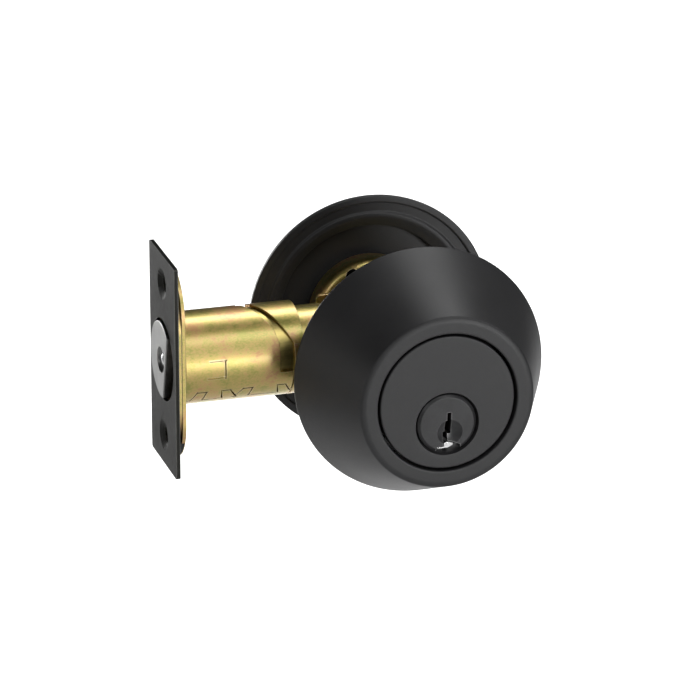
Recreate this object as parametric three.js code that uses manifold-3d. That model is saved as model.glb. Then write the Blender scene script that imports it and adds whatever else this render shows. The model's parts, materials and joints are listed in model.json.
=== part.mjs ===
// Tubular deadbolt door lock: exterior cylinder and collar, adjustable latch, interior rose and thumbturn.
// Millimetres. +Z is up, -Y is the exterior (key) side, +Y the interior side, -X the bolt side.
// The origin is the centre of the door's cross bore, halfway through the door.
import * as THREE from "three";
import { mergeVertices } from "three/addons/utils/BufferGeometryUtils.js";
import Module from "manifold-3d";

const wasm = await Module();
wasm.setup();

// ---- Driving dimensions -------------------------------------------------------------------------
const DOOR_THICKNESS = 43;
const BACKSET = 62; // cross bore axis to the faceplate's outer face
const BACKSET_TRAVEL = 9.525; // short to long backset
const THROW = 25.4;
const LATCH_Z = 1.6; // latch axis above the cross bore axis
const PLUG_Z = -5.8; // key plug, crank and thumbturn axis below the cross bore axis

const SLIDING = 0.2; // radial clearance of telescoping tubes
const RUNNING = 0.1; // radial clearance of turning parts
const SEATED = 0.05; // clearance of riveted and pressed parts
const STACKED = 0.02; // clearance of parts clamped face to face
const SLOT = 0.3; // clearance each side of flat drives in their slots
const SIDES = 40; // facets round a large turned part

// Bolt, and the latch tubes from the inside out
const BOLT_R = 10.2;
const BOLT_FLAT_DEPTH = 3.6; // of the flat along the bolt's exterior side
const BOLT_CHAMFER = 0.5;
const BOLT_PROUD = 0.6; // how far the retracted bolt stands out of the faceplate
const BOLT_LENGTH = 34;
const BOLT_PLAY = 0.27; // radial clearance of the bolt in the inner sleeve
const INNER_WALL = 0.7;
const SLEEVE_WALL = 0.7;
const ROLLER_R = 2.7;
const ROLLER_LENGTH = 16;
const ROLLER_RECESS = 0.9;

// Faceplate and the parts behind it
const OPENING_GAP = 0.7; // radial gap round the bolt in the faceplate
const FACE_SIDE = 1.8; // plate left each side of the bolt's opening
const FACE_END = 7.935; // from each screw's centre to the plate's end
const FACE_CORNER_R = 0.8;
const FACE_THICKNESS = 1.1;
const FACE_SCREW_SPACING = 41.28;
const FACE_SCREW_R = 2.3;
const COUNTERSINK_R = 4.25;
const SCREW_LIP = { wall: 0.4, length: 0.7 }; // pressed from the faceplate into the liner
const LINER_INSET = 0.25;
const LINER_THICKNESS = 0.8;
const LINER_BOTTOM = -19.3; // from the latch axis, where the filler starts
const BACKING_THICKNESS = 1.0;
const BACKING_RIM = 0.25; // left behind the filler
const BACKING_INSET = { width: 0.6, height: 5.15 };
const FILLER_INSET = 0.2;

// Rear sleeve, case and drive
const REAR_EDGE_X = -30; // rear sleeve's front edge where it runs square to the latch
const REAR_SLEEVE_END_X = -27.3;
const REAR_WALL = 0.8;
const REAR_WALL_HOLE_R = 6;
const EDGE_GAP = 2.5; // between the two sleeves' ramped edges
const CASE_TUBE_STEP = 0.87; // case tube's radius under the sleeve's bore
const CASE_WALL = 0.8;
const CASE_TUBE_END_X = -19.2;
const CASE_PLATE_Y = 6.2; // inner face of each case plate
const CASE_PLATE_WALL = 1.2;
const CASE_END_X = 23;
const CASE_TOP_Z = 12.5;
const CASE_BOTTOM_Z = -11.5;
const HUB_R = 4.8;
const JOURNAL_R = 4;
const CRANK_PIN_R = 1.5;
const CRANK_SWING = Math.PI / 4; // each side of upright
const CRANK_RADIUS = THROW / 2 / Math.sin(CRANK_SWING);
const PIN_SLOT_PLAY = 0.6; // each side of the crank pin, along the bolt
const TAIL_HALF = 1.3; // half the thickness of the bolt's tail plate
const TAIL_SHANK_HALF = 2;
const TAIL_RIM = 2.4;
const TAILPIECE_HALF = { x: 0.9, z: 2.9 };
const RIVET_R = 1.5;
const RIVET_HEAD = { radius: 2.4, height: 0.8 };
const RIVETS = [[19.6, 9], [9.5, -9], [-9.5, -9]];

// Exterior trim and cylinder
const COLLAR_BASE_R = 33.2;
const COLLAR_RING = 3.9; // width of the collar's flat front ring
const COLLAR_PROJECTION = 25.3;
const COLLAR_WALL = 1.8;
const COLLAR_LIP = 3.4; // depth of the collar's front lip
const CYLINDER_R = 17.7;
const CYLINDER_GAP = 0.7; // round the cylinder in the collar
const CYLINDER_INSET = 0.4; // cylinder face behind the collar's front ring
const PLUG_R = 6.35;
const PLUG_FACE_STEP = 1.4; // plug face's radius over the plug
const PLUG_FACE_DEPTH = 1.6;
const PIN_R = 1.42;
const PIN_COUNT = 5;
const PIN_PITCH = 3.9;
const SCREW_X = 19;
const SCREW_R = 2;
const SCREW_HEAD_R = 3.8;
const POST_R = 3.7;

// Interior trim
const ROSE_R = 33.1;
const ROSE_DEPTH = 8;
const MOUNT_BOSS_R = 16;
const SPINDLE_R = 4.3;
const TURN_HALF_SPAN = 16;
const TURN_PROJECTION = 20;
const TURN_BASE_R = 10.5;
const TURN_BLADE_HALF = 3.2;

// ---- Materials ----------------------------------------------------------------------------------
const finish = (color, roughness, metalness) =>
  new THREE.MeshStandardMaterial({ color, roughness, metalness });
const matteBlack = finish("#2b2b2d", 0.5, 0.3);
const darkSteel = finish("#5d5d58", 0.45, 0.8);
const zincYellow = finish("#cdb268", 0.35, 0.9);
const steel = finish("#a5a5a2", 0.35, 0.95);
const brass = finish("#b89a4c", 0.35, 0.9);
const nylon = finish("#3a3a3c", 0.7, 0);

// ---- Solids -------------------------------------------------------------------------------------
// A closed geometry as a solid with its faces outwards, whichever way its outline was drawn.
function solid(geometry) {
  const bare = new THREE.BufferGeometry();
  bare.setAttribute("position", geometry.getAttribute("position"));
  if (geometry.index) bare.setIndex(geometry.index);
  const merged = mergeVertices(bare, 1e-4);
  const triVerts = new Uint32Array(merged.index.array);
  const vertProperties = new Float32Array(merged.getAttribute("position").array);
  const made = new wasm.Manifold(new wasm.Mesh({ numProp: 3, vertProperties, triVerts }));
  if (made.volume() > 0) return made;
  for (let i = 0; i < triVerts.length; i += 3) {
    [triVerts[i + 1], triVerts[i + 2]] = [triVerts[i + 2], triVerts[i + 1]];
  }
  return new wasm.Manifold(new wasm.Mesh({ numProp: 3, vertProperties, triVerts }));
}

const joined = (...solids) => solids.reduce((all, next) => all.add(next));
const without = (body, ...cuts) => cuts.reduce((left, cut) => left.subtract(cut), body);

// A solid of revolution: profile points are [radius, place along the axis], and centre is the axis's place.
function turned(axis, profile, centre = [0, 0, 0], sides = SIDES) {
  const points = profile.map(([radius, along]) => new THREE.Vector2(radius, along));
  const onAxis = profile[0][0] === 0 && profile.at(-1)[0] === 0;
  if (!onAxis) points.push(points[0].clone());
  const geometry = new THREE.LatheGeometry(points, sides);
  if (axis === "x") geometry.rotateZ(-Math.PI / 2);
  if (axis === "z") geometry.rotateX(Math.PI / 2);
  return solid(geometry.translate(...centre));
}

const rod = (axis, radius, from, to, centre, sides = 24) =>
  turned(axis, [[0, from], [radius, from], [radius, to], [0, to]], centre, sides);

const pipe = (axis, inner, outer, from, to, centre, sides = SIDES) =>
  turned(axis, [[inner, from], [outer, from], [outer, to], [inner, to]], centre, sides);

function block([x0, y0, z0], [x1, y1, z1]) {
  const geometry = new THREE.BoxGeometry(x1 - x0, y1 - y0, z1 - z0);
  return solid(geometry.translate((x0 + x1) / 2, (y0 + y1) / 2, (z0 + z1) / 2));
}

// An outline drawn in the plane across the given axis, thickened from one place on the axis to another.
// Across x the outline's own axes are y and z; across y they are x and z.
function plate(axis, shape, from, to) {
  const settings = { depth: to - from, bevelEnabled: false, curveSegments: 8 };
  const geometry = new THREE.ExtrudeGeometry(shape, settings);
  const basis = new THREE.Matrix4();
  if (axis === "x") {
    basis.makeBasis(new THREE.Vector3(0, 1, 0), new THREE.Vector3(0, 0, 1), new THREE.Vector3(1, 0, 0));
    geometry.applyMatrix4(basis).translate(from, 0, 0);
  } else {
    basis.makeBasis(new THREE.Vector3(1, 0, 0), new THREE.Vector3(0, 0, 1), new THREE.Vector3(0, -1, 0));
    geometry.applyMatrix4(basis).translate(0, to, 0);
  }
  return solid(geometry);
}

// A rectangle with rounded corners about a centre.
function roundedRectangle(u, v, width, height, radius) {
  const shape = new THREE.Shape();
  const [halfU, halfV] = [width / 2 - radius, height / 2 - radius];
  shape.absarc(u + halfU, v + halfV, radius, 0, Math.PI / 2);
  shape.absarc(u - halfU, v + halfV, radius, Math.PI / 2, Math.PI);
  shape.absarc(u - halfU, v - halfV, radius, Math.PI, 1.5 * Math.PI);
  shape.absarc(u + halfU, v - halfV, radius, 1.5 * Math.PI, 2 * Math.PI);
  return shape;
}

const group = new THREE.Group();

// Adds one named piece. turn is an angle about the plug axis.
function piece(name, body, material, turn = 0) {
  const mesh = body.getMesh();
  const geometry = new THREE.BufferGeometry();
  geometry.setAttribute("position", new THREE.BufferAttribute(new Float32Array(mesh.vertProperties), 3));
  geometry.setIndex(new THREE.BufferAttribute(new Uint32Array(mesh.triVerts), 1));
  geometry.translate(0, 0, -PLUG_Z);
  const node = new THREE.Mesh(geometry, material);
  node.name = name;
  node.position.z = PLUG_Z;
  node.rotation.y = turn;
  group.add(node);
}

// ---- Places worked out from the driving dimensions ----------------------------------------------
const SLEEVE_INNER_R = BOLT_R + BOLT_PLAY + INNER_WALL + SLIDING;
const SLEEVE_R = SLEEVE_INNER_R + SLEEVE_WALL;
const INNER_R = SLEEVE_INNER_R - SLIDING; // outside of the inner backset sleeve
const BOLT_FLAT_Y = BOLT_FLAT_DEPTH - BOLT_R;
const BOLT_OPENING_R = BOLT_R + OPENING_GAP;
const FACE_WIDTH = 2 * (BOLT_OPENING_R + FACE_SIDE);
const FACE_HEIGHT = FACE_SCREW_SPACING + 2 * FACE_END;
const BACKING_WIDTH = FACE_WIDTH - BACKING_INSET.width;
const BACKING_HEIGHT = FACE_HEIGHT - BACKING_INSET.height;
const CASE_TUBE_R = SLEEVE_INNER_R - CASE_TUBE_STEP;
const COLLAR_OPENING_R = CYLINDER_R + CYLINDER_GAP;
const COLLAR_FACE_R = COLLAR_OPENING_R + COLLAR_RING;
const PLUG_FACE_R = PLUG_R + PLUG_FACE_STEP;
const LATCH = [0, 0, LATCH_Z];
const PLUG = [0, 0, PLUG_Z];
const EXTERIOR_Y = -DOOR_THICKNESS / 2;
const INTERIOR_Y = DOOR_THICKNESS / 2;
const FACE_X = -BACKSET;
const LINER_X = FACE_X + FACE_THICKNESS;
const BACKING_X = LINER_X + LINER_THICKNESS + STACKED;
const SLEEVE_X = BACKING_X + BACKING_THICKNESS + STACKED;
const COLLAR_FRONT_Y = EXTERIOR_Y - COLLAR_PROJECTION;
const CYLINDER_Y = COLLAR_FRONT_Y + CYLINDER_INSET;

// ---- Latch: faceplate, liner and backing plate --------------------------------------------------
const faceScrews = [-1, 1].map((side) => [0, 0, LATCH_Z + (side * FACE_SCREW_SPACING) / 2]);
const screwHoles = faceScrews.map((at) => rod("x", FACE_SCREW_R, FACE_X - 1, SLEEVE_X + 1, at, 24));
const lips = faceScrews.map((at) =>
  rod("x", FACE_SCREW_R + SCREW_LIP.wall, LINER_X - 0.3, LINER_X + SCREW_LIP.length, at, 24),
);
const lipHoles = faceScrews.map((at) =>
  rod("x", FACE_SCREW_R + SCREW_LIP.wall + 0.2, LINER_X - 1, SLEEVE_X + 1, at, 24),
);
const boltOpening = rod("x", BOLT_OPENING_R, FACE_X - 1, SLEEVE_X + 1, LATCH, SIDES);
const COUNTERSINK_SLOPE = (COUNTERSINK_R - FACE_SCREW_R) / FACE_THICKNESS;
const countersinks = faceScrews.map((at) =>
  turned("x", [
    [0, FACE_X - 1],
    [COUNTERSINK_R + COUNTERSINK_SLOPE, FACE_X - 1],
    [FACE_SCREW_R, LINER_X],
    [0, LINER_X],
  ], at, 24),
);
const faceOutline = roundedRectangle(0, LATCH_Z, FACE_WIDTH, FACE_HEIGHT, FACE_CORNER_R);
const face = plate("x", faceOutline, FACE_X, LINER_X);
const lippedFace = joined(face, ...lips);
piece("faceplate", without(lippedFace, boltOpening, ...screwHoles, ...countersinks), darkSteel);

// A plate with almost half-round ends, smaller all round by the inset.
function roundEnded(inset, from, to) {
  const [width, height] = [BACKING_WIDTH - 2 * inset, BACKING_HEIGHT - 2 * inset];
  return plate("x", roundedRectangle(0, LATCH_Z, width, height, width / 2 - 0.1), from, to);
}

// Everything below a height, from one place on the latch axis to another.
const below = (z, from, to) =>
  block([from, -FACE_WIDTH, LATCH_Z - FACE_HEIGHT], [to, FACE_WIDTH, LATCH_Z + z]);

const liner = roundEnded(LINER_INSET, LINER_X + STACKED, LINER_X + LINER_THICKNESS);
const linerEnd = below(LINER_BOTTOM, LINER_X - 1, BACKING_X);
piece("faceplate_liner", without(liner, boltOpening, ...lipHoles, linerEnd), zincYellow);

const rimX = BACKING_X + BACKING_THICKNESS - BACKING_RIM;
const backing = roundEnded(0, BACKING_X, BACKING_X + BACKING_THICKNESS);
const backingNotch = below(LINER_BOTTOM, BACKING_X - 1, rimX);
piece("backing_plate", without(backing, boltOpening, ...lipHoles, backingNotch), zincYellow);

const filler = roundEnded(FILLER_INSET, LINER_X + STACKED, rimX - STACKED);
const fillerSpace = below(LINER_BOTTOM - SEATED, LINER_X - 1, BACKING_X + BACKING_THICKNESS);
piece("face_filler", without(filler.intersect(fillerSpace), ...lipHoles), nylon);

// ---- Latch: sleeves with their ramped edges -----------------------------------------------------
// Angles go round the latch from the top (0) through the exterior side (90) to the bottom (180), in degrees.
const RAMP_START = -9; // top of the steep ramp
const RAMP_END = 65;
const RAMP_RISE = 8.3;
const TONGUE = [101, 170]; // the front sleeve's tongue, which the backset adjustment swings round
const NOTCH_EDGE_X = REAR_EDGE_X - 3.8;
const TONGUE_GAP = 0.4;

// The rear sleeve's front edge: a steep ramp, a square run, then a slow helix that leads the tongue round.
function rearEdge(angle) {
  const a = ((((angle - RAMP_START) % 360) + 360) % 360) + RAMP_START;
  if (a <= RAMP_END) return REAR_EDGE_X - (RAMP_RISE * (RAMP_END - a)) / (RAMP_END - RAMP_START);
  if (a <= TONGUE[1]) return REAR_EDGE_X;
  return REAR_EDGE_X - (BACKSET_TRAVEL * (a - TONGUE[1])) / 180;
}

// The front sleeve's rear edge: it follows the rear sleeve at a gap, with a square notch and the tongue.
function frontEdge(angle) {
  const a = ((((angle - RAMP_START) % 360) + 360) % 360) + RAMP_START;
  if (a > TONGUE[0] && a < TONGUE[1]) return REAR_EDGE_X - TONGUE_GAP;
  if (a > RAMP_END - 3 && a <= TONGUE[0]) return NOTCH_EDGE_X;
  return Math.min(rearEdge(a) - EDGE_GAP, NOTCH_EDGE_X - 0.05 * Math.max(0, RAMP_END - a));
}

// A tube between two edges, each a function of the angle, with close pairs of sections where an edge steps.
function sleeve(inner, outer, frontX, rearX) {
  const steps = [RAMP_START, RAMP_END - 3, RAMP_END, TONGUE[0], TONGUE[1]];
  const angles = steps.flatMap((angle) => [angle - 0.4, angle + 0.4]);
  const near = (angle, step) => Math.min(Math.abs(angle - step), Math.abs(angle - 360 - step)) <= 2;
  for (let angle = RAMP_START; angle < RAMP_START + 360; angle += 7.5) {
    if (!steps.some((step) => near(angle, step))) angles.push(angle);
  }
  angles.sort((a, b) => a - b);
  const positions = [];
  for (const angle of angles) {
    const theta = THREE.MathUtils.degToRad(angle);
    for (const [radius, x] of [[outer, frontX], [outer, rearX], [inner, rearX], [inner, frontX]]) {
      positions.push(x(angle), -radius * Math.sin(theta), LATCH_Z + radius * Math.cos(theta));
    }
  }
  const indices = [];
  angles.forEach((_, i) => {
    const next = (i + 1) % angles.length;
    for (let corner = 0; corner < 4; corner++) {
      const across = (corner + 1) % 4;
      const [a, b, c, d] = [4 * i + corner, 4 * i + across, 4 * next + across, 4 * next + corner];
      indices.push(a, b, c, a, c, d);
    }
  });
  const geometry = new THREE.BufferGeometry();
  geometry.setAttribute("position", new THREE.Float32BufferAttribute(positions, 3));
  return solid(geometry.setIndex(indices));
}

const INNER_FRONT_X = SLEEVE_X + 6.6;
const KEY_LUG = { x: INNER_FRONT_X + 0.9, length: 2, half: 1.5 };
const lugSlot = block(
  [KEY_LUG.x - SLOT, SLEEVE_INNER_R - 2, LATCH_Z - KEY_LUG.half - SLOT],
  [KEY_LUG.x + KEY_LUG.length + BACKSET_TRAVEL + SLOT, SLEEVE_R + 1, LATCH_Z + KEY_LUG.half + SLOT],
);

// A square tab lanced in the sleeve's exterior side: three thin slits that leave it attached at the front.
const TAB = { x: FACE_X + 9.3, top: 2.3, size: 4.4, slit: 0.3 };
const tabFar = TAB.x + TAB.size;
const tabTopZ = LATCH_Z + TAB.top;
const tabLowZ = tabTopZ - TAB.size;
const slit = (x0, z0, x1, z1) => block([x0, -SLEEVE_R - 1, z0], [x1, -SLEEVE_R / 2, z1]);
const tabSlits = [
  slit(TAB.x, tabTopZ, tabFar, tabTopZ + TAB.slit),
  slit(TAB.x, tabLowZ - TAB.slit, tabFar, tabLowZ),
  slit(tabFar, tabLowZ - TAB.slit, tabFar + TAB.slit, tabTopZ + TAB.slit),
];
const frontSleeve = sleeve(SLEEVE_INNER_R, SLEEVE_R, () => SLEEVE_X, frontEdge);
piece("front_sleeve", without(frontSleeve, lugSlot, ...tabSlits), zincYellow);

const rearSleeve = sleeve(SLEEVE_INNER_R, SLEEVE_R, rearEdge, () => REAR_SLEEVE_END_X);
const rearWallRadii = [REAR_WALL_HOLE_R, SLEEVE_R - SLEEVE_WALL / 2];
const rearWall = pipe("x", ...rearWallRadii, REAR_SLEEVE_END_X - REAR_WALL, REAR_SLEEVE_END_X, LATCH);
piece("rear_sleeve", joined(rearSleeve, rearWall), zincYellow);

const INNER_END_X = REAR_SLEEVE_END_X - REAR_WALL - 0.1;
const innerTube = pipe("x", INNER_R - INNER_WALL, INNER_R, INNER_FRONT_X, INNER_END_X, LATCH);
const keyLug = block(
  [KEY_LUG.x, INNER_R - INNER_WALL / 2, LATCH_Z - KEY_LUG.half],
  [KEY_LUG.x + KEY_LUG.length, SLEEVE_R - 0.1, LATCH_Z + KEY_LUG.half],
);
piece("backset_sleeve", joined(innerTube, keyLug), zincYellow);

const bushEnds = [SLEEVE_X + STACKED, INNER_FRONT_X - 0.4];
const bushRadii = [BOLT_R + SLIDING, SLEEVE_INNER_R - SEATED];
piece("bolt_guide_bush", pipe("x", ...bushRadii, ...bushEnds, LATCH), nylon);

// ---- Latch: bolt, its anti-saw roller and its tail ----------------------------------------------
const BOLT_X = FACE_X - BOLT_PROUD;
const BOLT_END_X = BOLT_X + BOLT_LENGTH;
const ROLLER_END_X = BOLT_X + ROLLER_RECESS + ROLLER_LENGTH;
const TAIL_BUTTON = { radius: 4.5, x: BOLT_X + 22.6, length: 1.8 };
const TAIL_BORE_R = TAIL_BUTTON.radius + 0.7;
const BOLT_CORNER = 4.4; // cut off the bolt's lower exterior corner, each way
const PIN_COUNTERBORE = 0.6;
const boltBody = turned("x", [
  [0, BOLT_X],
  [BOLT_R - BOLT_CHAMFER, BOLT_X],
  [BOLT_R, BOLT_X + BOLT_CHAMFER],
  [BOLT_R, BOLT_END_X],
  [0, BOLT_END_X],
], LATCH);
const boltFlat = block(
  [BOLT_X - 1, -BOLT_R - 1, LATCH_Z - BOLT_R],
  [BOLT_END_X + 1, BOLT_FLAT_Y, LATCH_Z + BOLT_R],
);
const cornerCut = new THREE.Shape([
  new THREE.Vector2(BOLT_FLAT_Y - 1, LATCH_Z - BOLT_R + 1 + BOLT_CORNER),
  new THREE.Vector2(BOLT_FLAT_Y + BOLT_CORNER, LATCH_Z - BOLT_R),
  new THREE.Vector2(BOLT_FLAT_Y - 1, LATCH_Z - BOLT_R),
]);
piece("deadbolt", without(
  boltBody,
  boltFlat,
  plate("x", cornerCut, BOLT_X - 1, BOLT_END_X + 1),
  rod("x", ROLLER_R + PIN_COUNTERBORE, BOLT_X - 1, BOLT_X + 1, LATCH),
  rod("x", ROLLER_R + RUNNING, BOLT_X - 1, ROLLER_END_X + 0.4, LATCH),
  rod("x", TAIL_BORE_R, TAIL_BUTTON.x - 1.5, BOLT_END_X + 1, LATCH),
), steel);
const rollerEnds = [BOLT_X + ROLLER_RECESS, ROLLER_END_X];
piece("anti_saw_roller", turned("x", [
  [0, rollerEnds[0]],
  [ROLLER_R - 0.6, rollerEnds[0]],
  [ROLLER_R, rollerEnds[0] + 0.6],
  [ROLLER_R, rollerEnds[1]],
  [0, rollerEnds[1]],
], LATCH, 24), steel);

// The crank pin drives the tail through an upright slot; at rest the crank leans away from the bolt.
const pinRestX = CRANK_RADIUS * Math.sin(CRANK_SWING);
const pinLowZ = PLUG_Z + CRANK_RADIUS * Math.cos(CRANK_SWING);
const pinHighZ = PLUG_Z + CRANK_RADIUS;
const slotHalf = CRANK_PIN_R + PIN_SLOT_PLAY;
const slotBottom = pinLowZ - CRANK_PIN_R - 0.5;
const slotTop = pinHighZ + CRANK_PIN_R + 0.5;
const tailHead = block(
  [pinRestX - slotHalf - TAIL_RIM, -TAIL_HALF, LATCH_Z - TAIL_SHANK_HALF],
  [pinRestX + slotHalf + TAIL_RIM, TAIL_HALF, slotTop + TAIL_RIM],
);
const tailShank = block(
  [TAIL_BUTTON.x + 1, -TAIL_HALF, LATCH_Z - TAIL_SHANK_HALF],
  [pinRestX, TAIL_HALF, LATCH_Z + TAIL_SHANK_HALF],
);
const tailSlot = block([pinRestX - slotHalf, -5, slotBottom], [pinRestX + slotHalf, 5, slotTop]);
const tailButton = rod("x", TAIL_BUTTON.radius, TAIL_BUTTON.x, TAIL_BUTTON.x + TAIL_BUTTON.length, LATCH);
piece("bolt_tail", without(joined(tailHead, tailShank, tailButton), tailSlot), zincYellow);

// ---- Latch: crank -------------------------------------------------------------------------------
const HUB_HALF = CASE_PLATE_Y - 0.2;
const JOURNAL_HALF = CASE_PLATE_Y + CASE_PLATE_WALL + 0.4;
const ARM_Y = [TAIL_HALF + 0.7, TAIL_HALF + 3.3];
const pinUpright = [0, 0, PLUG_Z + CRANK_RADIUS];
const armOutline = new THREE.Shape();
armOutline.absarc(0, PLUG_Z + CRANK_RADIUS, 3.1, 0, Math.PI);
armOutline.lineTo(-HUB_R + 0.3, PLUG_Z);
armOutline.lineTo(HUB_R - 0.3, PLUG_Z);
const crank = joined(
  rod("y", HUB_R, -HUB_HALF, HUB_HALF, PLUG),
  rod("y", JOURNAL_R, -JOURNAL_HALF, JOURNAL_HALF, PLUG),
  plate("y", armOutline, ...ARM_Y),
);
const driveSlot = block(
  [-TAILPIECE_HALF.x - SLOT, -JOURNAL_HALF - 1, PLUG_Z - TAILPIECE_HALF.z - SLOT],
  [TAILPIECE_HALF.x + SLOT, JOURNAL_HALF + 1, PLUG_Z + TAILPIECE_HALF.z + SLOT],
);
const leaning = driveSlot.translate([0, 0, -PLUG_Z]).rotate([0, -45, 0]).translate([0, 0, PLUG_Z]);
const crankPinHole = rod("y", CRANK_PIN_R + SEATED, ARM_Y[0] - 1, ARM_Y[1] + 1, pinUpright, 20);
piece("bolt_crank", without(crank, leaning, crankPinHole), zincYellow, CRANK_SWING);
piece("crank_pin", rod("y", CRANK_PIN_R, -TAIL_HALF - 1.2, ARM_Y[1], pinUpright, 20), steel, CRANK_SWING);

// ---- Latch: case --------------------------------------------------------------------------------
const SCREW_CLEAR_R = SCREW_R + 0.7;
const caseCuts = [
  rod("y", JOURNAL_R + RUNNING, -20, 20, PLUG),
  ...[-1, 1].map((side) => rod("y", SCREW_CLEAR_R, -20, 20, [side * SCREW_X, 0, PLUG_Z], 24)),
  ...RIVETS.map(([x, z]) => rod("y", RIVET_R + SEATED, -20, 20, [x, 0, z], 20)),
];
const CASE_OUT_Y = CASE_PLATE_Y + CASE_PLATE_WALL;
const tongueHalf = Math.sqrt(CASE_TUBE_R ** 2 - CASE_OUT_Y ** 2) - 0.15;
const casePlates = [-1, 1].map((side) => {
  const [low, high] = [side * CASE_PLATE_Y, side * CASE_OUT_Y].sort((a, b) => a - b);
  const wide = block([CASE_TUBE_END_X, low, CASE_BOTTOM_Z], [CASE_END_X, high, CASE_TOP_Z]);
  const tongue = block(
    [CASE_TUBE_END_X - 3, low, LATCH_Z - tongueHalf],
    [CASE_TUBE_END_X + 1, high, LATCH_Z + tongueHalf],
  );
  return joined(wide, tongue);
});
const caseTubeEnds = [REAR_SLEEVE_END_X + STACKED, CASE_TUBE_END_X];
const caseTube = pipe("x", CASE_TUBE_R - CASE_WALL, CASE_TUBE_R, ...caseTubeEnds, LATCH);
["exterior", "interior"].forEach((name, i) => {
  const side = i ? 1 : -1;
  const far = side * 30;
  const near = side * 0.1;
  const half = block([-40, Math.min(near, far), -30], [30, Math.max(near, far), 30]);
  const halfCase = joined(caseTube.intersect(half), casePlates[i]);
  piece(`latch_case_${name}`, without(halfCase, ...caseCuts), zincYellow);
});
RIVETS.forEach(([x, z], i) => {
  const [seat, top] = [CASE_OUT_Y + STACKED, CASE_OUT_Y + RIVET_HEAD.height];
  const at = [x, 0, z];
  piece(`case_rivet_${i + 1}`, joined(
    rod("y", RIVET_R, -seat - 0.2, seat + 0.2, at, 20),
    rod("y", RIVET_HEAD.radius, -top, -seat, at, 20),
    rod("y", RIVET_HEAD.radius, seat, top, at, 20),
  ), steel);
});
const leaf = new THREE.Shape();
const leafRise = PLUG_Z - HUB_R - 0.3;
const LEAF_RADIUS = 26;
const LEAF_ANGLE = 0.28;
const leafEnds = [Math.PI / 2 - LEAF_ANGLE, Math.PI / 2 + LEAF_ANGLE];
leaf.absarc(0, leafRise - LEAF_RADIUS, LEAF_RADIUS, leafEnds[0], leafEnds[1], false);
leaf.absarc(0, leafRise - LEAF_RADIUS, LEAF_RADIUS - 0.5, leafEnds[1], leafEnds[0], true);
piece("detent_spring", plate("y", leaf, -CASE_PLATE_Y + 0.3, CASE_PLATE_Y - 0.3), steel);

// ---- Exterior: collar and its hardened ring -----------------------------------------------------
const LIP_Y = COLLAR_FRONT_Y + COLLAR_LIP;
const RING_Y = [LIP_Y + STACKED, LIP_Y + 13];
const edgeRound = [0, 1, 2, 3].map((i) => {
  const angle = (i / 3) * (Math.PI / 2);
  return [COLLAR_FACE_R - 0.5 + 1.2 * Math.cos(angle), COLLAR_FRONT_Y + 1.2 - 1.2 * Math.sin(angle)];
});
piece("exterior_collar", turned("y", [
  [COLLAR_BASE_R - COLLAR_WALL, EXTERIOR_Y],
  [COLLAR_BASE_R, EXTERIOR_Y],
  [COLLAR_BASE_R, EXTERIOR_Y - 0.6],
  ...edgeRound,
  [COLLAR_OPENING_R + 0.3, COLLAR_FRONT_Y],
  [COLLAR_OPENING_R, COLLAR_FRONT_Y + 0.3],
  [COLLAR_OPENING_R, LIP_Y],
  [COLLAR_FACE_R - 0.9, LIP_Y],
  [COLLAR_BASE_R - COLLAR_WALL, EXTERIOR_Y - 1.6],
], [0, 0, 0], 56), matteBlack);
const ringRadii = [COLLAR_OPENING_R + 0.8, COLLAR_FACE_R - 1.2];
piece("collar_guard_ring", pipe("y", ...ringRadii, ...RING_Y, [0, 0, 0]), steel);

// ---- Exterior: cylinder housing -----------------------------------------------------------------
const FLANGE_Y = [EXTERIOR_Y - 3.5, EXTERIOR_Y - 0.1];
const SHOULDER_Y = [RING_Y[1] + STACKED, RING_Y[1] + 3];
const BODY_R = PLUG_R + 3.2;
const BIBLE_TOP_Z = PLUG_Z + 18.4;
const COVER_THICKNESS = 0.8;
const CHAMBER_R = PIN_R + 0.08;
const FIRST_PIN_Y = CYLINDER_Y + 6;
const KEYWAY_TOP_Z = PLUG_Z + 3.1;
const KEY_CUTS = [1.3, 2.2, 1.0, 2.6, 1.7]; // how far each key pin reaches into the keyway's top
const CHAMBER_BOTTOM_Z = KEYWAY_TOP_Z - Math.max(...KEY_CUTS) - 0.2;
const pinYs = Array.from({ length: PIN_COUNT }, (_, i) => FIRST_PIN_Y + i * PIN_PITCH);
const screwPlaces = [-1, 1].map((side) => [side * SCREW_X, 0, PLUG_Z]);
const POST_END_Y = -CASE_TUBE_R - 0.8;
const coverHalf = 2.2;
const coverY = [pinYs[0] - 2.2, pinYs.at(-1) + 2.2];
const coverZ = BIBLE_TOP_Z - COVER_THICKNESS;
const housing = joined(
  turned("y", [
    [0, CYLINDER_Y],
    [CYLINDER_R - 0.4, CYLINDER_Y],
    [CYLINDER_R, CYLINDER_Y + 0.4],
    [CYLINDER_R, CYLINDER_Y + 4.2],
    [0, CYLINDER_Y + 4.2],
  ]),
  rod("y", BODY_R, CYLINDER_Y + 3, FLANGE_Y[0] + 1, PLUG),
  block([-4.6, CYLINDER_Y + 3, PLUG_Z], [4.6, FLANGE_Y[0] + 1, BIBLE_TOP_Z]),
  rod("y", ringRadii[1] - 0.2, ...SHOULDER_Y, [0, 0, 0], SIDES),
  rod("y", SCREW_X + POST_R + 1.6, ...FLANGE_Y, [0, 0, 0], SIDES),
  ...screwPlaces.map((at) => rod("y", POST_R, FLANGE_Y[0] + 1, POST_END_Y, at)),
);
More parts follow.
